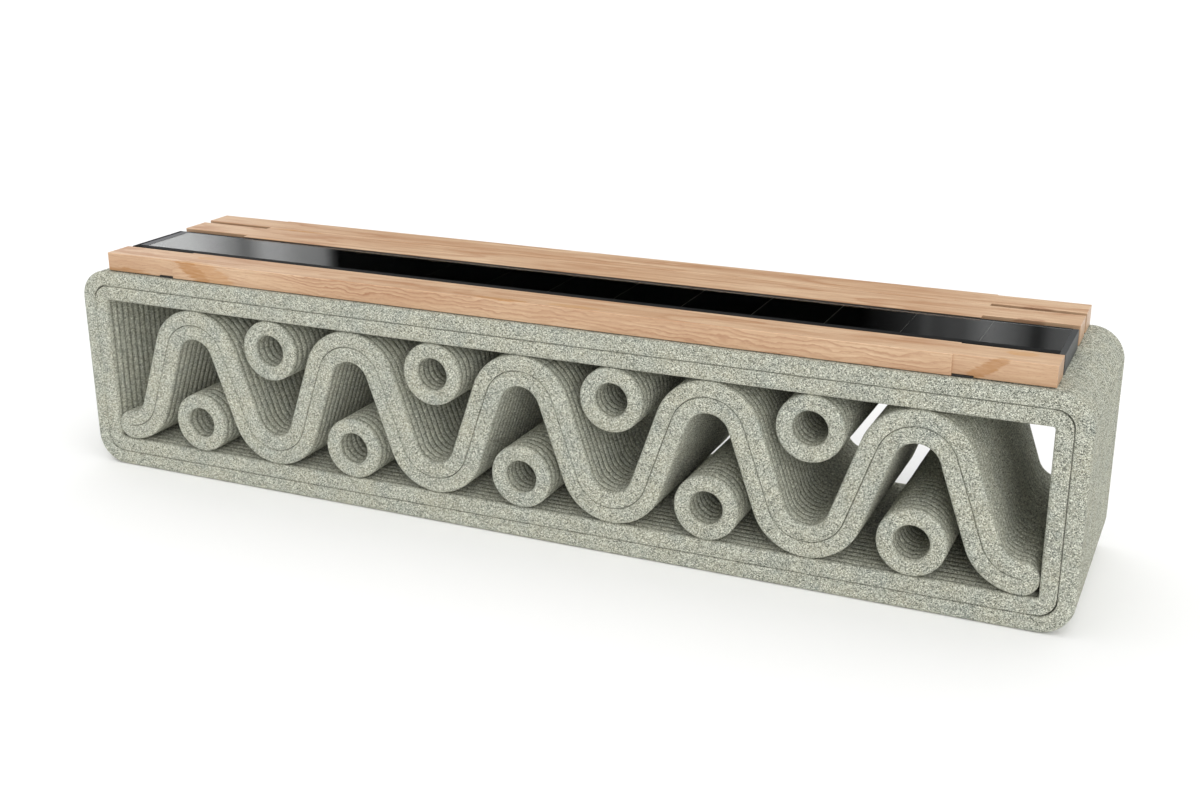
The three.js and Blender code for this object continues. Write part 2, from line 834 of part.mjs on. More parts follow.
socketPlaces.forEach((y, i) => {
  place(`charging_socket_${i + 1}`, chargingSocket(y), materials.zincSteel);
  place(`socket_cover_${i + 1}`, socketBlock(y, -deckEnd, -deckEnd + socketCoverDepth, 0), materials.rubber);
});
const boardLeft = socketEnd + clearance;
const boardRight = boardLeft + socketBoardLength;
place('socket_board', block(
  boardLeft,
  boardRight,
  housingMiddle - socketBoardWidth / 2,
  housingMiddle + socketBoardWidth / 2,
  socketMiddle - socketBoardThickness / 2,
  socketMiddle + socketBoardThickness / 2,
), materials.circuitBoard);
place('charge_controller', controllerGeometry(), materials.blackAluminium);
place('battery_pack_left', batteryPack(-batteryPlace), materials.batteryWrap);
place('battery_pack_right', batteryPack(batteryPlace), materials.batteryWrap);

place('junction_box', upright(new THREE.Shape(roundedOutline(
  junctionPlace - junctionLength / 2,
  junctionPlace + junctionLength / 2,
  housingMiddle - junctionWidth / 2,
  housingMiddle + junctionWidth / 2,
  junctionCorner,
  cornerSteps / 2,
)), junctionTop - junctionHeight, junctionTop), materials.blackPlastic);

const controllerLeft = controllerPlace - controllerLength / 2;
const controllerRight = controllerPlace + controllerLength / 2;
const controllerZ = floorSeat + (controllerHeight - finHeight) / 2;
const packReach = batteryCellDiameter * (batteryRow - 1) / 2 + batteryCellDiameter / 2 + wrapThickness;
const packZ = floorSeat + batteryCellDiameter / 2 + wrapThickness;
const cables = [
  {
    name: 'cable_cells',
    from: controllerRight,
    to: junctionPlace - junctionLength / 2,
    start: { y: housingMiddle, z: controllerZ },
    end: { y: housingMiddle, z: junctionTop - junctionHeight / 2 },
    lane: housingMiddle,
  },
  {
    name: 'cable_battery_left',
    from: controllerRight,
    to: -batteryPlace - packReach,
    start: { y: housingMiddle - cableLane / 2, z: controllerZ },
    end: { y: housingMiddle - cableLane, z: packZ },
    lane: housingMiddle - cableLane,
  },
  {
    name: 'cable_battery_right',
    from: -batteryPlace + packReach,
    to: batteryPlace - packReach,
    start: { y: housingMiddle, z: packZ },
    end: { y: housingMiddle, z: packZ },
    lane: housingMiddle + cableLane / 2,
  },
  {
    name: 'cable_sockets',
    from: boardRight,
    to: controllerLeft,
    start: { y: housingMiddle, z: socketMiddle },
    end: { y: housingMiddle, z: controllerZ },
    lane: housingMiddle + cableLane / 2,
  },
];
for (const { name, from, to, start, end, lane } of cables) {
  place(name, cable(from, to, start, end, lane), materials.blackPlastic);
}

export default bench;
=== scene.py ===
# Street bench of printed concrete with timber slats and a solar charging unit in the seat.
# +Z is up and the front of the bench faces -Y. Sizes and places are named in millimetres. Meshes
# and shaders take them in metres, through MM, and a noise scale counts waves to the metre.

import json
import math

import bpy
import numpy as np
from mathutils import Matrix, Vector


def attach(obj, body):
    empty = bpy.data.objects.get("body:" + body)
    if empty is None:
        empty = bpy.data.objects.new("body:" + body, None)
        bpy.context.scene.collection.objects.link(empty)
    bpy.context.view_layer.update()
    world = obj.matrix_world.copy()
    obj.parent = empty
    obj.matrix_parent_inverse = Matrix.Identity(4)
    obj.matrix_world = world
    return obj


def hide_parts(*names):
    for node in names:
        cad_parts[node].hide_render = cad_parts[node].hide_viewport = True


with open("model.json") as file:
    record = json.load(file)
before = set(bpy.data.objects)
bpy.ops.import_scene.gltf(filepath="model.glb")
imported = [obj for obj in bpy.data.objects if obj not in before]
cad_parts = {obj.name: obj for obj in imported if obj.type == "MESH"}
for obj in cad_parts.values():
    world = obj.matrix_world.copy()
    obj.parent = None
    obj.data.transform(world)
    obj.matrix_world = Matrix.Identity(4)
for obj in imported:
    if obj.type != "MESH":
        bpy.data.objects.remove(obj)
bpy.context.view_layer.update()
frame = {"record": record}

MM = 0.001


def model_box(name):
    """The lowest and the highest corner of one piece of the model, to a tenth of a millimetre."""
    places = [vertex.co for vertex in bpy.data.objects[name].data.vertices]
    low = [round(min(place[axis] for place in places) / MM, 1) for axis in range(3)]
    high = [round(max(place[axis] for place in places) / MM, 1) for axis in range(3)]
    return low, high


BODY_LOW, BODY_HIGH = model_box("printed_body")
BENCH = BODY_HIGH[0] - BODY_LOW[0]
DEPTH = BODY_HIGH[1] - BODY_LOW[1]
HEIGHT = BODY_HIGH[2] - BODY_LOW[2]
SLAT_TOP = model_box("slat_front")[1][2]
HOUSING_FRONT = model_box("housing_tray")[0][1]
HOUSING_LEFT = model_box("end_cap_left")[0][0]


# Node trees

class Sheet:
    """A node tree that is being drawn: each call adds one node and returns it or its output."""

    def __init__(self, tree):
        self.tree = tree

    def node(self, kind, values=None, **settings):
        made = self.tree.nodes.new(kind)
        for name, setting in settings.items():
            setattr(made, name, setting)
        for key, value in (values or {}).items():
            self.feed(value, made.inputs[key])
        return made

    def feed(self, value, socket):
        if isinstance(value, bpy.types.NodeSocket):
            self.tree.links.new(value, socket)
        else:
            socket.default_value = value

    def math(self, operation, *values):
        return self.node("ShaderNodeMath", dict(enumerate(values)), operation=operation).outputs[0]

    def plus(self, first, second):
        return self.math("ADD", first, second)

    def minus(self, first, second):
        return self.math("SUBTRACT", first, second)

    def times(self, first, second):
        return self.math("MULTIPLY", first, second)

    def vector(self, operation, *values):
        made = self.node("ShaderNodeVectorMath", operation=operation)
        for slot, value in enumerate(values):
            socket = made.inputs["Scale"] if operation == "SCALE" and slot == 1 else made.inputs[slot]
            self.feed(value, socket)
        return made.outputs["Value" if operation == "LENGTH" else "Vector"]

    def stretch(self, value, from_low, from_high, to_low=0.0, to_high=1.0, smooth=False):
        made = self.node("ShaderNodeMapRange", {0: value, 1: from_low, 2: from_high, 3: to_low, 4: to_high})
        made.interpolation_type = "SMOOTHSTEP" if smooth else "LINEAR"
        return made.outputs[0]

    def blend(self, factor, first, second):
        return self.node("ShaderNodeMix", {0: factor, 6: first, 7: second}, data_type="RGBA").outputs[2]

    def noise(self, where, scale, detail=2.0, roughness=0.5):
        made = self.node("ShaderNodeTexNoise")
        for key, value in (("Vector", where), ("Scale", scale), ("Detail", detail), ("Roughness", roughness)):
            self.feed(value, made.inputs[key])
        return made.outputs["Fac"]

    def grained(self, where, waves, detail=2.0, roughness=0.5):
        """Noise with its own number of waves to the metre along, across and up the bench."""
        return self.noise(self.vector("MULTIPLY", where, waves), 1.0, detail, roughness)

    def chance(self, number):
        """A value from 0 to 1 that is fixed for each whole number."""
        made = self.node("ShaderNodeTexWhiteNoise", noise_dimensions="1D")
        self.feed(number, made.inputs["W"])
        return made.outputs["Value"]

    def painted(self, label):
        """A value that the mesh carries under its label."""
        return self.node("ShaderNodeAttribute", attribute_name=label).outputs["Fac"]

    def split(self, vector):
        return self.node("ShaderNodeSeparateXYZ", {0: vector}).outputs

    def join(self, x, y, z):
        return self.node("ShaderNodeCombineXYZ", {0: x, 1: y, 2: z}).outputs[0]


def rgb(red, green, blue):
    """A colour given as it is seen, from 0 to 255, in the linear values of a shader."""
    return tuple(
        value / 12.92 if value <= 0.04045 else ((value + 0.055) / 1.055) ** 2.4
        for value in (red / 255, green / 255, blue / 255)
    ) + (1.0,)


FLOAT = "NodeSocketFloat"
VECTOR = "NodeSocketVector"
MATERIAL = "NodeSocketMaterial"


def shader_group(name, inputs, outputs):
    group = bpy.data.node_groups.new(name, "ShaderNodeTree")
    for label, kind, value in inputs:
        socket = group.interface.new_socket(label, in_out="INPUT", socket_type=kind)
        if value is not None:
            socket.default_value = value
    for label in outputs:
        group.interface.new_socket(label, in_out="OUTPUT", socket_type=FLOAT)
    source = group.nodes.new("NodeGroupInput").outputs
    target = group.nodes.new("NodeGroupOutput").inputs
    return Sheet(group), source, target


def grain_group():
    """Crushed aggregate in the face of a cement mortar: rounded stones, each of its own tone and size."""
    sheet, given, out = shader_group("Aggregate", [
        ("Vector", VECTOR, None),
        ("Fleck Scale", FLOAT, 430.0),
        ("Light Share", FLOAT, 0.3),
        ("Dark Share", FLOAT, 0.2),
        ("Mottle Scale", FLOAT, 22.0),
    ], ["Light", "Dark", "Mottle", "Warmth", "Mortar", "Lumps", "Dragged", "Height"])
    place = given["Vector"]
    light = None
    dark = None
    height = None
    coarse_stones = ((0.0, 0.0, 0.0), 1.0, 1.0)
    fine_stones = ((3.1, 1.7, 5.3), 1.7, 0.8)
    for shift, finer, weight in (coarse_stones, fine_stones):
        stones = sheet.node("ShaderNodeTexVoronoi", {
            "Vector": sheet.vector("ADD", place, shift), "Scale": sheet.times(given["Fleck Scale"], finer),
        })
        tone, spread, share = sheet.split(stones.outputs["Color"])
        edge = sheet.stretch(spread, 0.0, 1.0, 0.36, 0.62)
        stone = sheet.stretch(sheet.minus(edge, stones.outputs["Distance"]), -0.04, 0.14)
        pale = sheet.stretch(sheet.plus(tone, given["Light Share"]), 0.92, 1.08)
        deep = sheet.stretch(sheet.minus(given["Dark Share"], tone), -0.06, 0.10)
        pale = sheet.times(sheet.times(pale, stone), weight)
        deep = sheet.times(sheet.times(deep, stone), weight)
        dome = sheet.times(sheet.times(stone, share), weight)
        light = pale if light is None else sheet.math("MAXIMUM", light, pale)
        dark = deep if dark is None else sheet.math("MAXIMUM", dark, deep)
        height = dome if height is None else sheet.plus(height, dome)
    sheet.feed(light, out["Light"])
    sheet.feed(dark, out["Dark"])
    cloud = sheet.noise(place, given["Mottle Scale"], detail=5.0, roughness=0.68)
    sheet.feed(sheet.stretch(cloud, 0.3, 0.7), out["Mottle"])
    warm_place = sheet.vector("ADD", place, (7.7, 2.2, 1.4))
    warm = sheet.noise(warm_place, sheet.times(given["Mottle Scale"], 0.8), detail=3.0, roughness=0.6)
    sheet.feed(sheet.stretch(warm, 0.38, 0.62), out["Warmth"])
    mortar = sheet.noise(place, sheet.times(given["Fleck Scale"], 0.5), detail=4.0, roughness=0.75)
    sheet.feed(sheet.stretch(mortar, 0.32, 0.68), out["Mortar"])
    lumps = sheet.noise(sheet.vector("ADD", place, (2.9, 6.1, 4.3)), 85.0)
    sheet.feed(sheet.stretch(lumps, 0.3, 0.7), out["Lumps"])
    drawn_out = sheet.vector("MULTIPLY", place, (1.0, 0.34, 1.0))
    dragged = sheet.noise(drawn_out, sheet.times(given["Fleck Scale"], 0.62), roughness=0.7)
    sheet.feed(sheet.stretch(dragged, 0.34, 0.66), out["Dragged"])
    uneven = sheet.plus(mortar, sheet.times(lumps, 2.0))
    sheet.feed(sheet.plus(sheet.times(height, 0.25), uneven), out["Height"])
    return sheet.tree


def timber_group():
    """Growth rings about a pith beside the board, with the fibres along X."""
    sheet, given, out = shader_group("Timber Grain", [
        ("Vector", VECTOR, None),
        ("Pith Depth", FLOAT, 0.05),
        ("Pith Height", FLOAT, -0.12),
        ("Pith Slope", FLOAT, 0.02),
        ("Ring Width", FLOAT, 0.0035),
        ("Wander", FLOAT, 0.008),
        ("Seed", FLOAT, 0.0),
    ], ["Rings", "Figure", "Fibre", "Pores", "Board", "Height"])
    x, y, z = sheet.split(given["Vector"])
    shifted = sheet.join(sheet.plus(x, given["Seed"]), y, z)
    wander = sheet.minus(sheet.grained(shifted, (1.6, 5.0, 5.0)), 0.5)
    ripple = sheet.minus(sheet.grained(shifted, (20.0, 42.0, 42.0), detail=3.0), 0.5)
    slope = sheet.times(x, given["Pith Slope"])
    across = sheet.minus(y, sheet.plus(given["Pith Depth"], slope))
    up = sheet.minus(z, sheet.plus(given["Pith Height"], slope))
    radius = sheet.vector("LENGTH", sheet.join(across, up, 0.0))
    bent = sheet.plus(radius, sheet.times(wander, sheet.times(given["Wander"], 6.0)))
    bent = sheet.plus(bent, sheet.times(ripple, sheet.times(given["Wander"], 2.2)))
    turns = sheet.math("DIVIDE", bent, given["Ring Width"])
    phase = sheet.math("FRACT", turns)
    early = sheet.math("POWER", sheet.stretch(phase, 0.0, 0.8), 2.2)
    late = sheet.stretch(phase, 0.84, 1.0, 1.0, 0.0)
    ring = sheet.times(early, late)
    strength = sheet.stretch(sheet.chance(sheet.math("FLOOR", turns)), 0.0, 1.0, 0.2, 1.0)
    fade = sheet.stretch(sheet.grained(shifted, (6.0, 26.0, 26.0)), 0.35, 0.6, 0.25, 1.0)
    sheet.feed(sheet.times(ring, sheet.times(strength, fade)), out["Rings"])
    fibre = sheet.grained(shifted, (15.0, 430.0, 430.0), detail=3.0, roughness=0.6)
    sheet.feed(fibre, out["Fibre"])
    flame = sheet.times(sheet.grained(shifted, (1.2, 14.0, 14.0), detail=1.0, roughness=0.4), 7.0)
    flame = sheet.math("FRACT", sheet.plus(flame, sheet.times(ripple, 0.6)))
    flame = sheet.times(sheet.stretch(flame, 0.45, 0.85), sheet.stretch(flame, 0.86, 0.98, 1.0, 0.0))
    band = sheet.stretch(sheet.grained(shifted, (7.0, 120.0, 120.0), roughness=0.6), 0.42, 0.62)
    sheet.feed(sheet.plus(sheet.times(flame, 0.75), sheet.times(band, 0.5)), out["Figure"])
    pores = sheet.stretch(sheet.grained(shifted, (110.0, 1500.0, 1500.0), detail=1.0), 0.64, 0.74)
    sheet.feed(sheet.times(pores, sheet.stretch(ring, 0.0, 0.5, 0.4, 1.0)), out["Pores"])
    board = sheet.grained(shifted, (2.4, 16.0, 16.0), detail=3.0)
    sheet.feed(sheet.stretch(board, 0.3, 0.7), out["Board"])
    height = sheet.plus(sheet.times(fibre, 0.6), sheet.times(ring, 0.5))
    sheet.feed(sheet.minus(height, pores), out["Height"])
    return sheet.tree


def streak_group():
    """One resinous streak in a board, leaning along the fibres, with a ragged edge."""
    sheet, given, out = shader_group("Resin Streak", [
        ("Vector", VECTOR, None),
        ("Centre", VECTOR, None),
        ("Reach", VECTOR, None),
        ("Lean", FLOAT, 0.0),
    ], ["Mask"])
    x, y, z = sheet.split(sheet.vector("SUBTRACT", given["Vector"], given["Centre"]))
    upright = sheet.join(sheet.minus(x, sheet.times(z, given["Lean"])), y, z)
    away = sheet.vector("LENGTH", sheet.vector("DIVIDE", upright, given["Reach"]))
    ragged = sheet.grained(given["Vector"], (40.0, 260.0, 260.0), detail=3.0, roughness=0.6)
    ragged = sheet.minus(ragged, 0.5)
    away = sheet.plus(away, sheet.times(ragged, 1.2))
    streaky = sheet.stretch(ragged, -0.16, 0.16, 1.0, 0.45)
    sheet.feed(sheet.times(sheet.stretch(away, 0.75, 1.1, 1.0, 0.0, smooth=True), streaky), out["Mask"])
    return sheet.tree


def handling_group():
    """Fine scuffs, film and dust of a part that has stood outside."""
    sheet, given, out = shader_group("Handling", [
        ("Vector", VECTOR, None),
        ("Scuff Scale", FLOAT, 60.0),
        ("Dust", FLOAT, 0.3),
    ], ["Scuffs", "Dust", "Film", "Height"])
    place = given["Vector"]
    scratch = sheet.vector("MULTIPLY", place, (0.25, 1.6, 1.6))
    line = sheet.noise(scratch, sheet.times(given["Scuff Scale"], 9.0), roughness=0.6)
    patch = sheet.noise(place, given["Scuff Scale"], detail=3.0, roughness=0.6)
    scuffs = sheet.times(sheet.stretch(line, 0.58, 0.72), sheet.stretch(patch, 0.45, 0.7))
    sheet.feed(scuffs, out["Scuffs"])
    film = sheet.noise(place, sheet.times(given["Scuff Scale"], 0.22), detail=4.0, roughness=0.6)
    sheet.feed(sheet.stretch(film, 0.3, 0.7), out["Film"])
    specks = sheet.noise(place, 900.0)
    settled = sheet.times(sheet.stretch(specks, 0.52, 0.7), sheet.stretch(film, 0.4, 0.7, 0.2, 1.0))
    sheet.feed(sheet.times(settled, given["Dust"]), out["Dust"])
    sheet.feed(sheet.plus(specks, sheet.times(scuffs, -0.5)), out["Height"])
    return sheet.tree


AGGREGATE = grain_group()
TIMBER_GRAIN = timber_group()
RESIN_STREAK = streak_group()
HANDLING = handling_group()


# Materials

CEMENT = rgb(139, 145, 137)
PALE_CEMENT = rgb(164, 165, 150)
WARM_CEMENT = rgb(168, 163, 139)
# Painted light: the colour that the ribs are lightened towards.
LIT_RIB_CEMENT = rgb(206, 206, 188)
OPEN_MORTAR = rgb(108, 112, 106)
LIGHT_STONE = rgb(225, 226, 211)
DARK_STONE = rgb(67, 70, 63)
WORN_LAYER = rgb(140, 142, 128)
# Painted shade: the colour that the grooves between layers are darkened towards.
GROOVE_SHADE = rgb(96, 96, 84)

PALE_BOARD = rgb(208, 179, 147)
TAN_BOARD = rgb(186, 151, 118)
FIGURE = rgb(158, 112, 78)
LATE_WOOD = rgb(152, 106, 74)
FIBRE = rgb(172, 131, 99)
PORE = rgb(126, 85, 60)
# Painted shade: the colour for the faces of slats in the gaps.
GAP_SHADE = rgb(72, 56, 44)
GOLDEN = rgb(178, 130, 78)
DARK_GOLD = rgb(160, 110, 56)
REDDISH = rgb(126, 74, 44)
# Painted light: the top is made this much lighter, for the light that falls on it from above.
PAINTED_TOP_GAIN = (0.33, 0.41, 0.47)
TOP_FROM = SLAT_TOP - 1.5
TOP_TO = SLAT_TOP - 0.3
CALM_FROM = 700.0
CALM_TO = 800.0
GAP_SHADE_FADE = 0.8

DUST = rgb(150, 146, 138)
TRIM_FADE = 0.6
FINGER_PITCH = 2.1


def new_material(name):
    material = bpy.data.materials.new(name)
    material.use_nodes = True
    tree = material.node_tree
    tree.nodes.clear()
    shader = tree.nodes.new("ShaderNodeBsdfPrincipled")
    output = tree.nodes.new("ShaderNodeOutputMaterial")
    tree.links.new(shader.outputs[0], output.inputs["Surface"])
    place = tree.nodes.new("ShaderNodeTexCoord").outputs["Object"]
    return material, Sheet(tree), shader, place


def metres(values):
    return tuple(value * MM for value in values)


def group_node(sheet, group, values):
    made = sheet.node("ShaderNodeGroup", node_tree=group)
    for key, value in values.items():
        sheet.feed(value, made.inputs[key])
    return made.outputs


def bump(sheet, shader, height, strength, distance):
    made = sheet.node("ShaderNodeBump")
    made.inputs["Strength"].default_value = strength
    made.inputs["Distance"].default_value = distance * MM
    sheet.feed(height, made.inputs["Height"])
    sheet.feed(made.outputs[0], shader.inputs["Normal"])


def concrete():
    """Grey-green cement with light and dark stones, painted lighter on the ribs to stand for light, most of
    all inside, with painted shade in the joints.
    """
    material, sheet, shader, place = new_material("printed concrete")
    grain = group_node(sheet, AGGREGATE, {
        "Vector": place, "Fleck Scale": 560.0, "Light Share": 0.46, "Dark Share": 0.40, "Mottle Scale": 26.0,
    })
    rib = sheet.painted("ribbed")
    shelter = sheet.painted("shelter")
    base = sheet.blend(grain["Mottle"], CEMENT, PALE_CEMENT)
    base = sheet.blend(sheet.times(grain["Warmth"], 0.42), base, WARM_CEMENT)
    # Painted light: the ribs are painted lighter to stand for the light that reaches them, the ribs inside
    # the bench most.
    painted_rib_light = sheet.times(rib, sheet.plus(sheet.times(shelter, 0.2), 0.15))
    base = sheet.blend(painted_rib_light, base, LIT_RIB_CEMENT)
    base = sheet.blend(sheet.stretch(grain["Mortar"], 0.0, 0.6, 0.28, 0.0), base, OPEN_MORTAR)
    base = sheet.blend(grain["Light"], base, LIGHT_STONE)
    base = sheet.blend(grain["Dark"], base, DARK_STONE)
    base = sheet.blend(sheet.times(sheet.painted("layer tone"), 0.16), base, WORN_LAYER)
    lumpy = sheet.stretch(grain["Lumps"], 0.0, 1.0, 0.1, 0.6)
    # Painted shade: the grooves between the layers are darkened where shade falls in them, broken up by the
    # lumps.
    base = sheet.blend(sheet.times(sheet.painted("groove"), lumpy), base, GROOVE_SHADE)
    interior_weight = sheet.times(rib, sheet.plus(sheet.times(shelter, 0.55), 0.45))
    coarse = sheet.times(interior_weight, sheet.stretch(grain["Dragged"], 0.0, 1.0, -0.3, 0.3))
    base = sheet.vector("SCALE", base, sheet.plus(coarse, 1.0))
    sheet.feed(base, shader.inputs["Base Color"])
    sheet.feed(sheet.stretch(grain["Light"], 0.0, 1.0, 0.95, 0.82), shader.inputs["Roughness"])
    shader.inputs["Specular IOR Level"].default_value = 0.25
    bump(sheet, shader, grain["Height"], strength=0.6, distance=1.3)
    return material


def timber(name, pith, slope, ring, wander, seed, streaks=(), shaded_faces=()):
    """Oiled timber: sawn sides with rings, a top painted lighter for the light from above, with a flamed
    figure, resin streaks, and painted shade on faces in the gaps.
    """
    material, sheet, shader, place = new_material(name)
    pith_depth, pith_height = metres(pith)
    grain = group_node(sheet, TIMBER_GRAIN, {
        "Vector": place, "Pith Depth": pith_depth, "Pith Height": pith_height, "Pith Slope": slope,
        "Ring Width": ring * MM, "Wander": wander * MM, "Seed": seed,
    })
    x, y, z = sheet.split(place)
    up = sheet.stretch(z, TOP_FROM * MM, TOP_TO * MM)
    base = sheet.blend(grain["Board"], PALE_BOARD, TAN_BOARD)
    figure = sheet.times(grain["Figure"], sheet.stretch(up, 0.0, 1.0, 0.2, 0.8))
    base = sheet.blend(figure, base, FIGURE)
    calm = sheet.stretch(sheet.math("ABSOLUTE", x), CALM_FROM * MM, CALM_TO * MM, 1.0, 0.4)
    base = sheet.blend(sheet.times(grain["Rings"], calm), base, LATE_WOOD)
    base = sheet.blend(sheet.stretch(grain["Fibre"], 0.36, 0.72, 0.0, 0.6), base, FIBRE)
    base = sheet.blend(sheet.times(grain["Pores"], 0.55), base, PORE)
    for centre, reach, lean, amount, colour in streaks:
        streak = group_node(sheet, RESIN_STREAK, {
            "Vector": place, "Centre": metres(centre), "Reach": metres(reach), "Lean": lean,
        })
        base = sheet.blend(sheet.times(streak["Mask"], amount), base, colour)
    # Painted shade: the faces of a slat in the gaps beside the housing and the next slat are darkened below
    # the top.
    below = sheet.minus(1.0, up)
    for face, amount in shaded_faces:
        near_face = sheet.stretch(y, face * MM, (face + GAP_SHADE_FADE) * MM, amount, 0.0)
        base = sheet.blend(sheet.times(below, near_face), base, GAP_SHADE)
    # Painted light: the top is made lighter to stand for the light that falls on it from above.
    painted_top_light = sheet.vector("ADD", sheet.vector("SCALE", PAINTED_TOP_GAIN, up), (1.0, 1.0, 1.0))
    sheet.feed(sheet.vector("MULTIPLY", base, painted_top_light), shader.inputs["Base Color"])
    sheet.feed(sheet.stretch(grain["Rings"], 0.0, 1.0, 0.42, 0.34), shader.inputs["Roughness"])
    shader.inputs["Specular IOR Level"].default_value = 0.5
    bump(sheet, shader, grain["Height"], strength=0.25, distance=0.4)
    return material


def coated(name, colour, worn, roughness, metallic=0.0, scuff_scale=60.0, dust=0.25, relief=0.2,
           specular=0.5, rim=None):
    """A painted, anodised or moulded face with a fine texture, light scuffs and a little dust."""
    material, sheet, shader, place = new_material(name)
    marks = group_node(sheet, HANDLING, {"Vector": place, "Scuff Scale": scuff_scale, "Dust": dust})
    base = sheet.blend(sheet.times(marks["Film"], 0.35), colour, worn)
    base = sheet.blend(sheet.times(marks["Scuffs"], 0.5), base, worn)
    base = sheet.blend(marks["Dust"], base, DUST)
    if rim is not None:
        inner_end, inner_front, rim_colour = rim
        parts = sheet.split(place)
        end_strip = sheet.stretch(parts["X"], (inner_end - TRIM_FADE) * MM, inner_end * MM, 1.0, 0.0)
        front_strip = sheet.stretch(parts["Y"], inner_front * MM, (inner_front + TRIM_FADE) * MM, 1.0, 0.0)
        base = sheet.blend(sheet.math("MAXIMUM", end_strip, front_strip), base, rim_colour)
    sheet.feed(base, shader.inputs["Base Color"])
    filmed = sheet.stretch(marks["Film"], 0.0, 1.0, roughness - 0.06, roughness + 0.08)
    sheet.feed(sheet.plus(filmed, sheet.times(marks["Scuffs"], 0.12)), shader.inputs["Roughness"])
    shader.inputs["Metallic"].default_value = metallic
    shader.inputs["Specular IOR Level"].default_value = specular
    bump(sheet, shader, marks["Height"], strength=0.2, distance=relief)
    return material


def clear_glass():
    """Low-iron glass with a thin film on it."""
    material, sheet, shader, place = new_material("cover glass")
    marks = group_node(sheet, HANDLING, {"Vector": place, "Scuff Scale": 20.0, "Dust": 0.1})
    shader.inputs["Base Color"].default_value = rgb(244, 248, 247)
    shader.inputs["Transmission Weight"].default_value = 1.0
    shader.inputs["IOR"].default_value = 1.5
    sheet.feed(sheet.stretch(marks["Film"], 0.0, 1.0, 0.004, 0.012), shader.inputs["Roughness"])
    return material


def solar_cell():
    """Nearly black silicon with fine silver fingers across it."""
    material, sheet, shader, place = new_material("solar cell")
    mottle = sheet.noise(place, 60.0, detail=3.0, roughness=0.6)
    base = sheet.blend(mottle, rgb(1, 1, 2), rgb(4, 4, 6))
    along_bench = sheet.split(place)["X"]
    phase = sheet.math("FRACT", sheet.times(along_bench, 1 / (FINGER_PITCH * MM)))
    from_middle = sheet.math("ABSOLUTE", sheet.minus(phase, 0.5))
    finger = sheet.stretch(from_middle, 0.0, 0.05, 1.0, 0.0)
    base = sheet.blend(sheet.times(finger, 0.03), base, rgb(40, 42, 46))
    sheet.feed(base, shader.inputs["Base Color"])
    sheet.feed(sheet.stretch(mottle, 0.3, 0.7, 0.42, 0.48), shader.inputs["Roughness"])
    shader.inputs["Specular IOR Level"].default_value = 0.02
    return material


finishes = {
    "printed_concrete": concrete(),
    "black_steel": coated("black steel", rgb(26, 27, 28), rgb(48, 49, 50), 0.5, relief=0.3),
    "zinc_steel": coated("zinc plate", rgb(176, 180, 182), rgb(140, 143, 146), 0.38, metallic=1.0, dust=0.05),
    "anchor_resin": coated(
        "anchor resin", rgb(140, 138, 128), rgb(118, 116, 106), 0.75, dust=0.4, relief=0.6),
    "black_aluminium": coated(
        "black aluminium", rgb(22, 23, 24), rgb(34, 36, 37), 0.6, scuff_scale=40.0, specular=0.10),
    "black_plastic": coated("black plastic", rgb(24, 25, 26), rgb(48, 49, 50), 0.55, relief=0.3),
    "grey_plastic": coated("grey plastic", rgb(62, 64, 65), rgb(84, 86, 86), 0.5, relief=0.3, specular=0.4),
    "cover_glass": clear_glass(),
    "solar_cell": solar_cell(),
    "back_sheet": coated("back sheet", rgb(186, 182, 174), rgb(204, 200, 192), 0.8, dust=0.1, specular=0.1),
    "rubber": coated("rubber", rgb(22, 22, 22), rgb(44, 44, 43), 0.82, dust=0.4, relief=0.4, specular=0.3),
    "circuit_board": coated(
        "circuit board", rgb(28, 84, 50), rgb(44, 108, 66), 0.42, scuff_scale=200.0, dust=0.1),
    "battery_wrap": coated("battery wrap", rgb(44, 104, 150), rgb(84, 140, 180), 0.32, dust=0.05),
}

# Each resin streak has its centre, its reach along, across and up the bench, its lean, its strength
# and its colour. Each painted shade has the face of a slat in a gap that it darkens and its strength.
front_streaks = (
    ((-690.0, -196.3, 435.0), (54.0, 16.0, 30.0), -1.33, 0.65, GOLDEN),
    ((-722.0, -196.3, 438.0), (26.0, 16.0, 30.0), -1.29, 0.70, DARK_GOLD),
    ((-888.0, -194.3, 418.0), (60.0, 12.0, 9.0), 0.00, 0.75, DARK_GOLD),
    ((825.0, -194.3, 435.5), (18.0, 12.0, 28.0), 1.35, 0.75, DARK_GOLD),
    ((872.0, -149.0, SLAT_TOP), (28.0, 12.0, 10.0), 0.00, 0.80, GOLDEN),
    ((-718.0, -153.0, SLAT_TOP), (22.0, 10.0, 10.0), 0.00, 0.70, GOLDEN),
    ((-40.0, -190.0, SLAT_TOP), (55.0, 7.0, 6.0), 0.00, 0.80, DARK_GOLD),
    ((102.0, -183.0, SLAT_TOP), (55.0, 9.0, 6.0), 0.00, 0.55, GOLDEN),
)
back_streaks = (
    ((-700.0, 128.8, 447.0), (65.0, 5.0, 30.0), 0.00, 0.90, DARK_GOLD),
    ((-690.0, 38.0, 447.0), (60.0, 10.0, 20.0), -1.60, 0.50, GOLDEN),
    ((843.0, 54.4, 440.0), (30.0, 8.0, 30.0), 0.80, 0.55, REDDISH),
    ((843.0, 137.9, 440.0), (30.0, 8.0, 30.0), 0.80, 0.55, REDDISH),
)
# Painted shade on the faces of the middle and rear slats in the gaps.
middle_gap_shade = ((38.2, 0.85), (54.8, 0.25))
rear_gap_shade = ((138.3, 0.25),)

# The left cap is black over these widths, at its outer end and along its front.
LEFT_CAP_STRIP = 8.3
FRONT_CAP_STRIP = 16.3

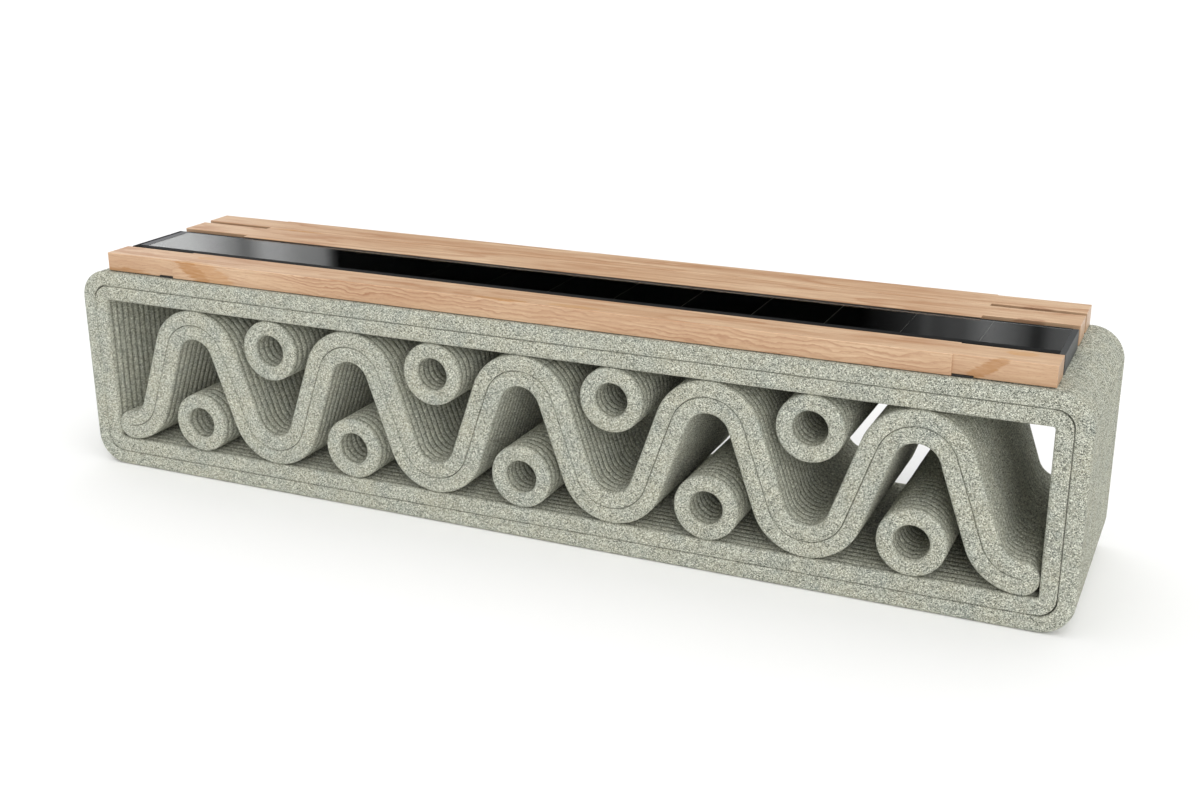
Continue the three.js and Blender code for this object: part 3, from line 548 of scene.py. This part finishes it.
# The pith of a board lies at a depth and a height. Its seed shifts the figure along the board.
own_finishes = {
    "slat_front": timber(
        "timber front", pith=(50.0, 320.0), slope=0.022, ring=3.2, wander=4.5, seed=0.0,
        streaks=front_streaks),
    "slat_middle": timber(
        "timber middle", pith=(330.0, 330.0), slope=-0.016, ring=4.4, wander=5.0, seed=11.3,
        streaks=back_streaks, shaded_faces=middle_gap_shade),
    "slat_rear": timber(
        "timber rear", pith=(0.0, 300.0), slope=0.020, ring=5.2, wander=5.5, seed=23.9,
        streaks=back_streaks, shaded_faces=rear_gap_shade),
    "end_cap_left": coated(
        "dark grey cap", rgb(106, 107, 109), rgb(120, 121, 123), 0.6, relief=0.3, specular=0.08,
        rim=(HOUSING_LEFT + LEFT_CAP_STRIP, HOUSING_FRONT + FRONT_CAP_STRIP, rgb(12, 13, 14))),
}


# Printed concrete
# The bench is printed lying on its face: its layers are stacked from the front to the back.

BEAD = 30.5
LAYERS = 26
LAYER_PITCH = DEPTH / LAYERS
FRAME = 2 * BEAD
BOND = 1.0
WAVE_COUNT = 5
WAVE_RADIUS = 70.0
WAVE_END = BENCH / 2 - FRAME - BEAD + BOND
WAVE_LOW = FRAME + BEAD - BOND
WAVE_HIGH = HEIGHT - FRAME - BEAD + BOND
WAVE_STEP = WAVE_END / WAVE_COUNT
LAST_BEND = 2 * WAVE_COUNT
EDGE = 7.0
SEAM_EDGE = 2.7
SEAM = 0.2
SEAM_PLAY = 0.4
INNER_CORNER = 4.0
JOINT_DEPTH = 1.8
LAYER_WANDER = 1.1
RIB_MARGIN = 0.4
RIB_START_SHARE = 0.6
EDGE_STEPS = 5
FACE_SHARES = (0.3, 0.5, 0.7)
RIB_SHARES = (0.0, 0.07, 0.25, 0.5, 0.75, 0.93)
BORE_SHARES = (0.0, 0.12, 0.5, 0.88)

# Heights over which a layer that stands on the ground gets its whole play
STANDING_FROM = 1.0
STANDING_TO = 20.0

# Millimetres between the places of a straight run, and degrees between those of an arc
FINE_RUN = 10.0
GROUND_RUN = 30.0
WAVE_RUN = 12.0
OUTER_CORNER_STEP = 4.5
INNER_CORNER_STEP = 18.0
BEND_STEP = 5.0
HAIRPIN_STEP = 7.5
PIPE_STEP = 6.0


def arc(centre, start, end, step):
    """Places on an arc, as its centre with each way out from it."""
    count = max(1, round(abs(end - start) / math.radians(step)))
    angles = [start + (end - start) * i / count for i in range(count + 1)]
    return [(centre, (math.cos(angle), math.sin(angle))) for angle in angles]


def along(first, last, spacing):
    """Places between two places, both left out, all with the first one's way out."""
    (x, z), way = first
    far_x, far_z = last[0]
    count = max(1, round(math.dist(first[0], last[0]) / spacing))
    return [((x + (far_x - x) * i / count, z + (far_z - z) * i / count), way) for i in range(1, count)]


def push(place, distance):
    (x, z), (way_x, way_z) = place
    return (x + way_x * distance, z + way_z * distance)


def rounded_frame(inset, radius, ground_run, step):
    """Places around the frame's outline at one inset, each with its way out."""
    right = BENCH / 2 - inset - radius
    top = HEIGHT - inset - radius
    bottom = inset + radius
    corners = ((right, top), (-right, top), (-right, bottom), (right, bottom))
    spacings = (FINE_RUN, FINE_RUN, ground_run, FINE_RUN)
    quarter = math.pi / 2
    turns = [arc(centre, i * quarter, (i + 1) * quarter, step) for i, centre in enumerate(corners)]
    places = []
    for i, turn in enumerate(turns):
        rim = [(push(place, radius), place[1]) for place in turn]
        centre, way = turns[(i + 1) % len(turns)][0]
        places += rim + along(rim[-1], (push((centre, way), radius), way), spacings[i])
    return places


def seam_line():
    """The line between the two runs of the wave, with the number of the place where each bend starts."""
    rise = WAVE_HIGH - WAVE_LOW - 2 * WAVE_RADIUS
    lean = math.atan2(rise, WAVE_STEP) + math.asin(2 * WAVE_RADIUS / math.hypot(WAVE_STEP, rise))
    line = []
    starts = []
    for bend in range(LAST_BEND + 1):
        crest = bend % 2 == 1
        side = 1 if crest else -1
        centre = (-WAVE_END + bend * WAVE_STEP, WAVE_HIGH - WAVE_RADIUS if crest else WAVE_LOW + WAVE_RADIUS)
        start = 0.0 if bend == 0 else -lean
        end = 0.0 if bend == LAST_BEND else lean
        count = round(math.degrees(end - start) / BEND_STEP)
        turn = []
        for i in range(count + 1):
            angle = start + (end - start) * i / count
            way = (side * math.sin(angle), math.cos(angle))
            turn.append((push((centre, way), side * WAVE_RADIUS), way))
        if line:
            line += along(line[-1], turn[0], WAVE_RUN)
        starts.append(len(line))
        line += turn
    return line, starts


def wave_halves():
    """The loop about the seam line, cut across its middle bend into a left and a right part."""
    line, starts = seam_line()
    parting = (starts[WAVE_COUNT] + starts[WAVE_COUNT + 1]) // 2
    left_line = line[:parting + 1]
    right_line = line[parting:]

    def back(places):
        return [(point, (-way[0], -way[1])) for point, way in reversed(places)]

    quarter = math.pi / 2
    left_end = arc(left_line[0][0], -quarter, -3 * quarter, HAIRPIN_STEP)[1:-1]
    right_end = arc(right_line[-1][0], quarter, -quarter, HAIRPIN_STEP)[1:-1]
    left = back(left_line) + left_end + left_line
    right = right_line + right_end + back(right_line)
    return left, right


def edge_rows(radius):
    """A rounded edge between the face and a side: inset from the side and from the face."""
    angles = [math.pi / 2 * i / EDGE_STEPS for i in range(EDGE_STEPS + 1)]
    return [(radius * (1 - math.sin(angle)), radius * (1 - math.cos(angle))) for angle in angles]


def bead_section(width, ribbed_near, ribbed_far, far_shares=RIB_SHARES):
    """One closed cross-section: rows of side (0 near, 1 far), inset from it, depth, rib weight and play."""
    front = -DEPTH / 2
    rib_end = -front - EDGE - RIB_MARGIN

    def side_rows(ribbed, shares):
        if not ribbed:
            return [(0.0, 0.0, 0.0, SEAM_PLAY)]
        depths = [front + (layer + share) * LAYER_PITCH for layer in range(LAYERS) for share in shares]
        return [(0.0, y, 1.0, 1.0) for y in depths if -rib_end < y < rib_end]

    def end_rows(ribbed, mirror):
        radius = EDGE if ribbed else SEAM_EDGE
        rows = []
        for inset, depth in edge_rows(radius):
            y = front + depth
            weight = 1.0 if ribbed and depth > radius * RIB_START_SHARE else 0.0
            play = weight if ribbed else SEAM_PLAY if depth > 0 else 0.0
            rows.append((inset, -y if mirror else y, weight, play))
        return rows

    def rows_of(ribbed, shares):
        return end_rows(ribbed, False) + side_rows(ribbed, shares) + end_rows(ribbed, True)[::-1]

    near = rows_of(ribbed_near, RIB_SHARES)
    far = rows_of(ribbed_far, far_shares)
    section = [(0, *row) for row in near]
    section += [(0, width * share, -front, 0.0, 0.0) for share in FACE_SHARES]
    section += [(1, *row) for row in far[::-1]]
    section += [(0, width * share, front, 0.0, 0.0) for share in FACE_SHARES[::-1]]
    return section


def bead_mesh(name, near, far, section, closed=True, shelter=1.0):
    """Sweeps a section along two lines of places that run side by side."""
    near = np.array(near)
    far = np.array(far)
    way = far - near
    way /= np.linalg.norm(way, axis=1)[:, None]
    rows = len(section)
    count = len(near)
    points = []
    outward = []
    ribbed = []
    play = []
    for side, inset, y, rib_weight, play_weight in section:
        line = near + way * inset if side == 0 else far - way * inset
        facing = -way if side == 0 else way
        points.append(np.column_stack([line[:, 0], np.full(count, y), line[:, 1]]))
        outward.append(np.column_stack([facing[:, 0], np.zeros(count), facing[:, 1]]))
        ribbed.append(np.full(count, rib_weight))
        play.append(np.full(count, play_weight))
    points = np.concatenate(points) * MM
    outward = np.concatenate(outward)
    i = np.arange(count if closed else count - 1)
    following = (i + 1) % count
    faces = []
    for row in range(rows):
        here = row * count
        there = (row + 1) % rows * count
        faces.append(np.column_stack([here + i, here + following, there + following, there + i]))
    faces = np.concatenate(faces)
    a, b, c, d = (points[faces[:, corner]] for corner in range(4))
    if closed:
        turned_out = np.sum(a * np.cross(b, c)) + np.sum(a * np.cross(c, d))
    else:
        turned_out = np.sum(np.cross(b - a, d - a) * outward[faces[:, 0]])
    if turned_out < 0:
        faces = faces[:, ::-1]
    faces = faces.tolist()
    if not closed:
        start = [row * count for row in range(rows)]
        end = [row * count + count - 1 for row in range(rows)]
        faces += [start, end[::-1]] if turned_out > 0 else [start[::-1], end]
    mesh = bpy.data.meshes.new(name)
    mesh.from_pydata(points.tolist(), [], faces)
    mesh.attributes.new("outward", "FLOAT_VECTOR", "POINT").data.foreach_set("vector", outward.ravel())
    # The interior value is 1 on the inner pieces, whose ribs the concrete paints lighter to stand for light.
    interior_weight = np.full(len(points), shelter)
    ribbed = np.concatenate(ribbed)
    play = np.concatenate(play)
    for label, weights in (("ribbed", ribbed), ("play", play), ("shelter", interior_weight)):
        mesh.attributes.new(label, "FLOAT", "POINT").data.foreach_set("value", weights)
    piece = bpy.data.objects.new(name, mesh)
    bpy.context.scene.collection.objects.link(piece)
    return piece


def geometry_tree(name, inputs):
    tree = bpy.data.node_groups.new(name, "GeometryNodeTree")
    tree.interface.new_socket("Geometry", in_out="INPUT", socket_type="NodeSocketGeometry")
    for label, kind, value in inputs:
        socket = tree.interface.new_socket(label, in_out="INPUT", socket_type=kind)
        if value is not None:
            socket.default_value = value
    tree.interface.new_socket("Geometry", in_out="OUTPUT", socket_type="NodeSocketGeometry")
    source = tree.nodes.new("NodeGroupInput").outputs
    target = tree.nodes.new("NodeGroupOutput").inputs[0]
    return Sheet(tree), source, target


def carried(sheet, label, kind="FLOAT"):
    """A value that the mesh carries into a geometry tree under its label."""
    made = sheet.node("GeometryNodeInputNamedAttribute", {"Name": label}, data_type=kind)
    return made.outputs["Attribute"]


def stored(sheet, geometry, label, value):
    made = sheet.node("GeometryNodeStoreNamedAttribute", data_type="FLOAT", domain="POINT")
    for key, given in (("Geometry", geometry), ("Name", label), ("Value", value)):
        sheet.feed(given, made.inputs[key])
    return made.outputs[0]


def finished(sheet, geometry, material):
    real = sheet.node("GeometryNodeRealizeInstances", {"Geometry": geometry}).outputs[0]
    return sheet.node("GeometryNodeSetMaterial", {"Geometry": real, "Material": material}).outputs[0]


def printing_tree():
    """Presses the joints between the printed layers into a smooth bead, and lets each layer wander."""
    sheet, given, out = geometry_tree("Printed Layers", [
        ("Front", FLOAT, None),
        ("Layer Height", FLOAT, None),
        ("Joint Depth", FLOAT, JOINT_DEPTH * MM),
        ("Joint Sharpness", FLOAT, 2.3),
        ("Wander", FLOAT, LAYER_WANDER * MM),
        ("Wander Scale", FLOAT, 9.0),
        ("Seed", FLOAT, 0.0),
        ("Material", MATERIAL, None),
    ])
    place = sheet.node("GeometryNodeInputPosition").outputs[0]
    parts = sheet.split(place)
    layers = sheet.math("DIVIDE", sheet.minus(parts["Y"], given["Front"]), given["Layer Height"])
    phase = sheet.math("FRACT", layers)
    number = sheet.math("ROUND", sheet.minus(layers, 0.5))
    swing = sheet.math("ABSOLUTE", sheet.minus(sheet.times(phase, 2.0), 1.0))
    joint = sheet.math("POWER", swing, given["Joint Sharpness"])
    apart = sheet.join(0.0, sheet.plus(sheet.times(number, 0.37), given["Seed"]), 0.0)
    flat = sheet.vector("MULTIPLY", place, (1.0, 0.0, 1.0))
    wander = sheet.noise(sheet.vector("ADD", flat, apart), given["Wander Scale"], detail=4.0, roughness=0.62)
    standing = sheet.stretch(parts["Z"], STANDING_FROM * MM, STANDING_TO * MM)
    sag = sheet.times(sheet.times(wander, given["Wander"]), standing)
    ribbed = carried(sheet, "ribbed")
    depth = sheet.times(joint, given["Joint Depth"])
    pressed = sheet.plus(sheet.times(depth, ribbed), sheet.times(sag, carried(sheet, "play")))
    inward = sheet.vector("SCALE", carried(sheet, "outward", "FLOAT_VECTOR"), sheet.times(pressed, -1.0))
    whole = given["Geometry"]
    moved = sheet.node("GeometryNodeSetPosition", {"Geometry": whole, "Offset": inward}).outputs[0]
    # The groove value drives the painted shade in the joints between layers.
    groove = sheet.times(sheet.math("POWER", joint, 2.0), ribbed)
    tone = sheet.times(sheet.chance(sheet.plus(number, given["Seed"])), ribbed)
    grooved = stored(sheet, moved, "groove", groove)
    toned = stored(sheet, grooved, "layer tone", tone)
    smooth = sheet.node("GeometryNodeSetShadeSmooth", {"Geometry": toned}).outputs[0]
    sheet.feed(finished(sheet, smooth, given["Material"]), out)
    return sheet.tree


def row_tree():
    """Copies of one pipe, evenly spaced along the bench."""
    sheet, given, out = geometry_tree("Row of Pipes", [
        ("Count", "NodeSocketInt", 5),
        ("First", VECTOR, None),
        ("Spacing", VECTOR, None),
        ("Material", MATERIAL, None),
    ])
    points = sheet.node("GeometryNodeMeshLine", {
        "Count": given["Count"], "Start Location": given["First"], "Offset": given["Spacing"],
    }, mode="OFFSET").outputs[0]
    copies = sheet.node("GeometryNodeInstanceOnPoints", {"Points": points, "Instance": given["Geometry"]})
    sheet.feed(finished(sheet, copies.outputs[0], given["Material"]), out)
    return sheet.tree


PRINTED_LAYERS = printing_tree()
ROW_OF_PIPES = row_tree()


def grow(piece, steps):
    """Runs node trees on a piece, each with its inputs, and leaves a plain mesh."""
    for tree, values in steps:
        modifier = piece.modifiers.new(tree.name, "NODES")
        modifier.node_group = tree
        for item in tree.interface.items_tree:
            if item.item_type == "SOCKET" and item.in_out == "INPUT" and item.name in values:
                modifier[item.identifier] = values[item.name]
    graph = bpy.context.evaluated_depsgraph_get()
    graph.update()
    evaluated = piece.evaluated_get(graph)
    result = bpy.data.meshes.new_from_object(evaluated, preserve_all_data_layers=True, depsgraph=graph)
    result.name = piece.name
    piece.modifiers.clear()
    piece.data = result


def print_piece(piece, seed, first_steps=()):
    """Prints the layers into a smooth piece, which then takes the place of the model's body."""
    values = {
        "Front": -DEPTH / 2 * MM, "Layer Height": LAYER_PITCH * MM, "Seed": seed,
        "Material": finishes["printed_concrete"],
    }
    grow(piece, [*first_steps, (PRINTED_LAYERS, values)])
    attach(piece, "root")
    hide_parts("printed_body")


def frame_beads():
    """The two beads of the frame: the outer one is ribbed outside, the inner one inside."""
    outer = rounded_frame(0.0, FRAME, GROUND_RUN, OUTER_CORNER_STEP)
    near = [place[0] for place in outer]
    far = [push(place, -(BEAD - SEAM)) for place in outer]
    section = bead_section(BEAD - SEAM, True, False)
    print_piece(bead_mesh("outer_bead", near, far, section, shelter=0.0), seed=3.0)

    inner = rounded_frame(FRAME, INNER_CORNER, FINE_RUN, INNER_CORNER_STEP)
    near = [push(place, BEAD - SEAM) for place in inner]
    far = [place[0] for place in inner]
    section = bead_section(BEAD - SEAM, False, True)
    print_piece(bead_mesh("inner_bead", near, far, section), seed=17.0)


def wave_beads():
    """The infill's doubled bead, in two halves."""
    section = bead_section(BEAD - SEAM, True, False)
    for name, places in zip(("wave_left", "wave_right"), wave_halves()):
        near = [push(place, BEAD) for place in places]
        far = [push(place, SEAM) for place in places]
        print_piece(bead_mesh(name, near, far, section, closed=False), seed=29.0)


def pipes():
    """A row of pipes that stand under the crests and a row that hang over the troughs."""
    ring = arc((0.0, 0.0), 0.0, 2 * math.pi, PIPE_STEP)[:-1]
    near = [push(place, FRAME) for place in ring]
    far = [push(place, BEAD) for place in ring]
    section = bead_section(FRAME - BEAD, True, True, BORE_SHARES)
    standing = FRAME + FRAME - BOND
    hanging = HEIGHT - FRAME - FRAME + BOND
    rows = (("lower_pipes", WAVE_COUNT, 1, standing, 41.0), ("upper_pipes", WAVE_COUNT - 1, 2, hanging, 53.0))
    for name, count, bend, centre, seed in rows:
        step = (ROW_OF_PIPES, {
            "Count": count,
            "First": metres((-WAVE_END + bend * WAVE_STEP, 0.0, centre)),
            "Spacing": metres((2 * WAVE_STEP, 0.0, 0.0)),
            "Material": finishes["printed_concrete"],
        })
        print_piece(bead_mesh(name, near, far, section), seed, [step])


frame_beads()
wave_beads()
pipes()


# Pieces kept from the model

def dress_model():
    """Gives each piece of the model its finish, except the body, which is replaced."""
    for subpart in frame["record"]["subparts"]:
        node = subpart["node"]
        if node == "printed_body":
            continue
        material = own_finishes.get(node) or finishes[subpart["material_slot"]]
        for slot in bpy.data.objects[node].material_slots:
            slot.material = material


dress_model()


# Studio

PICTURE_WIDTH = 1200
FOCAL_PIXELS = 1520.3
SENSOR_WIDTH = 36.0
CAMERA_PLACE = (1204.1, -2525.1, 1169.6)
CAMERA_YAW = 24.1842
CAMERA_PITCH = 18.9826
CAMERA_ROLL = -0.1091
VIEW_FROM = 50.0
VIEW_TO = 200000.0

# The reflected wall stands on an arc about the camera's place. Each of its levels is the light that
# it sends at an azimuth, in degrees to the left of straight back.
WALL_CENTRE = (1200.0, -2500.0)
WALL_REACH = 25000.0
WALL_LOW = -1000.0
WALL_HIGH = 16000.0
WALL_START = -12.0
WALL_END = 62.0
WALL_STEPS = 40
LAST_AZIMUTH = 50.0
WALL_LEVELS = (
    (0.0, 0.22), (6.5, 0.21), (7.0, 0.155), (7.35, 0.045), (7.6, 0.05), (7.95, 0.13), (8.4, 0.21),
    (9.25, 0.33), (9.9, 0.20), (10.2, 0.13), (10.8, 0.12), (11.2, 0.088), (11.6, 0.125), (11.95, 0.06),
    (12.8, 0.022), (14.0, 0.0), (34.3, 0.0), (34.8, 0.37), (35.6, 0.42), (36.4, 0.62), (36.9, 0.64),
    (37.6, 0.24), (38.2, 0.48), (39.0, 0.80), (39.7, 1.04), (40.4, 1.1), (LAST_AZIMUTH, 1.1),
)
FLOOR_REACH = 40000.0
FLOOR_COLOUR = (0.95, 0.95, 0.945, 1.0)
WHITE = (1.0, 1.0, 1.0, 1.0)
ROOM_STRENGTH = 0.54
SEEN_STRENGTH = 1.0


def staged(name, points, faces, material):
    mesh = bpy.data.meshes.new(name)
    mesh.from_pydata([metres(point) for point in points], [], faces)
    mesh.materials.append(material)
    made = bpy.data.objects.new(name, mesh)
    bpy.context.scene.collection.objects.link(made)
    return made


def studio_floor():
    material, _, shader, _ = new_material("studio floor")
    shader.inputs["Base Color"].default_value = FLOOR_COLOUR
    shader.inputs["Roughness"].default_value = 0.9
    shader.inputs["Specular IOR Level"].default_value = 0.0
    signs = ((-1, -1), (1, -1), (1, 1), (-1, 1))
    corners = [(across * FLOOR_REACH, back * FLOOR_REACH, 0.0) for across, back in signs]
    staged("studio_floor", corners, [(0, 1, 2, 3)], material)


def wall_light():
    """Light that changes with the azimuth: a window at the left, a dim one at the right, dark between."""
    material = bpy.data.materials.new("reflected wall")
    material.use_nodes = True
    tree = material.node_tree
    tree.nodes.clear()
    sheet = Sheet(tree)
    parts = sheet.split(tree.nodes.new("ShaderNodeTexCoord").outputs["Object"])
    centre_x, centre_y = metres(WALL_CENTRE)
    turn = sheet.math("ARCTAN2", sheet.minus(centre_x, parts["X"]), sheet.minus(parts["Y"], centre_y))
    degrees = sheet.times(turn, 180 / math.pi)
    ramp = sheet.node("ShaderNodeValToRGB", {0: sheet.stretch(degrees, 0.0, LAST_AZIMUTH)})
    band = ramp.color_ramp
    for i, (azimuth, level) in enumerate(WALL_LEVELS):
        stop = band.elements[i] if i < 2 else band.elements.new(azimuth / LAST_AZIMUTH)
        stop.position = azimuth / LAST_AZIMUTH
        stop.color = (level, level, level, 1.0)
    light = sheet.node("ShaderNodeEmission", {"Color": ramp.outputs[0], "Strength": 1.0})
    sheet.feed(light.outputs[0], tree.nodes.new("ShaderNodeOutputMaterial").inputs["Surface"])
    return material


def reflected_wall():
    """A far wall that only polished faces see."""
    centre_x, centre_y = WALL_CENTRE
    points = []
    for i in range(WALL_STEPS + 1):
        angle = math.radians(WALL_START + (WALL_END - WALL_START) * i / WALL_STEPS)
        x = centre_x - WALL_REACH * math.sin(angle)
        y = centre_y + WALL_REACH * math.cos(angle)
        points += [(x, y, WALL_LOW), (x, y, WALL_HIGH)]
    faces = [(2 * i, 2 * i + 2, 2 * i + 3, 2 * i + 1) for i in range(WALL_STEPS)]
    wall = staged("reflected_wall", points, faces, wall_light())
    wall.visible_camera = False
    wall.visible_diffuse = False
    wall.visible_shadow = False


def soft_light(name, source, power, spread):
    """Daylight through a wide diffuser: it falls evenly on everything, with soft shadows."""
    data = bpy.data.lights.new(name, "SUN")
    data.energy = power
    data.angle = math.radians(spread)
    lamp = bpy.data.objects.new(name, data)
    lamp.rotation_euler = (-Vector(source)).to_track_quat("-Z", "Y").to_euler()
    lamp.visible_glossy = False
    lamp.visible_transmission = False
    bpy.context.scene.collection.objects.link(lamp)


def world_light():
    """A white room, which the camera sees brighter than it lights."""
    world = bpy.data.worlds.new("studio")
    world.use_nodes = True
    tree = world.node_tree
    tree.nodes.clear()
    sheet = Sheet(tree)
    room = sheet.node("ShaderNodeBackground", {"Color": WHITE, "Strength": ROOM_STRENGTH})
    seen = sheet.node("ShaderNodeBackground", {"Color": WHITE, "Strength": SEEN_STRENGTH})
    to_camera = tree.nodes.new("ShaderNodeLightPath").outputs["Is Camera Ray"]
    mixed = sheet.node("ShaderNodeMixShader", {0: to_camera, 1: room.outputs[0], 2: seen.outputs[0]})
    sheet.feed(mixed.outputs[0], tree.nodes.new("ShaderNodeOutputWorld").inputs["Surface"])
    bpy.context.scene.world = world


def studio_camera():
    """The photograph's view, from the camera that was fitted to the bench's straight edges."""
    yaw = math.radians(CAMERA_YAW)
    pitch = math.radians(CAMERA_PITCH)
    roll = math.radians(CAMERA_ROLL)
    forward = Vector((-math.sin(yaw) * math.cos(pitch), math.cos(yaw) * math.cos(pitch), -math.sin(pitch)))
    right = Vector((math.cos(yaw), math.sin(yaw), 0.0))
    up = right.cross(forward)
    rolled_right = right * math.cos(roll) + up * math.sin(roll)
    rolled_up = up * math.cos(roll) - right * math.sin(roll)
    data = bpy.data.cameras.new("camera")
    data.sensor_fit = "HORIZONTAL"
    data.sensor_width = SENSOR_WIDTH
    data.lens = FOCAL_PIXELS / PICTURE_WIDTH * SENSOR_WIDTH
    data.clip_start = VIEW_FROM * MM
    data.clip_end = VIEW_TO * MM
    camera = bpy.data.objects.new("camera", data)
    turn = Matrix((rolled_right, rolled_up, -forward)).transposed().to_4x4()
    camera.matrix_world = Matrix.Translation(metres(CAMERA_PLACE)) @ turn
    bpy.context.scene.collection.objects.link(camera)
    bpy.context.scene.camera = camera


studio_floor()
world_light()
studio_camera()
soft_light("key_light", source=(1.5, -1.3, 2.1), power=0.9, spread=60.0)
soft_light("top_light", source=(-0.4, 0.5, 2.0), power=1.0, spread=90.0)
soft_light("fill_light", source=(1.2, -2.4, 0.75), power=1.3, spread=40.0)
reflected_wall()

view = bpy.context.scene.view_settings
view.view_transform = "Standard"
view.look = "None"
view.exposure = 0.0
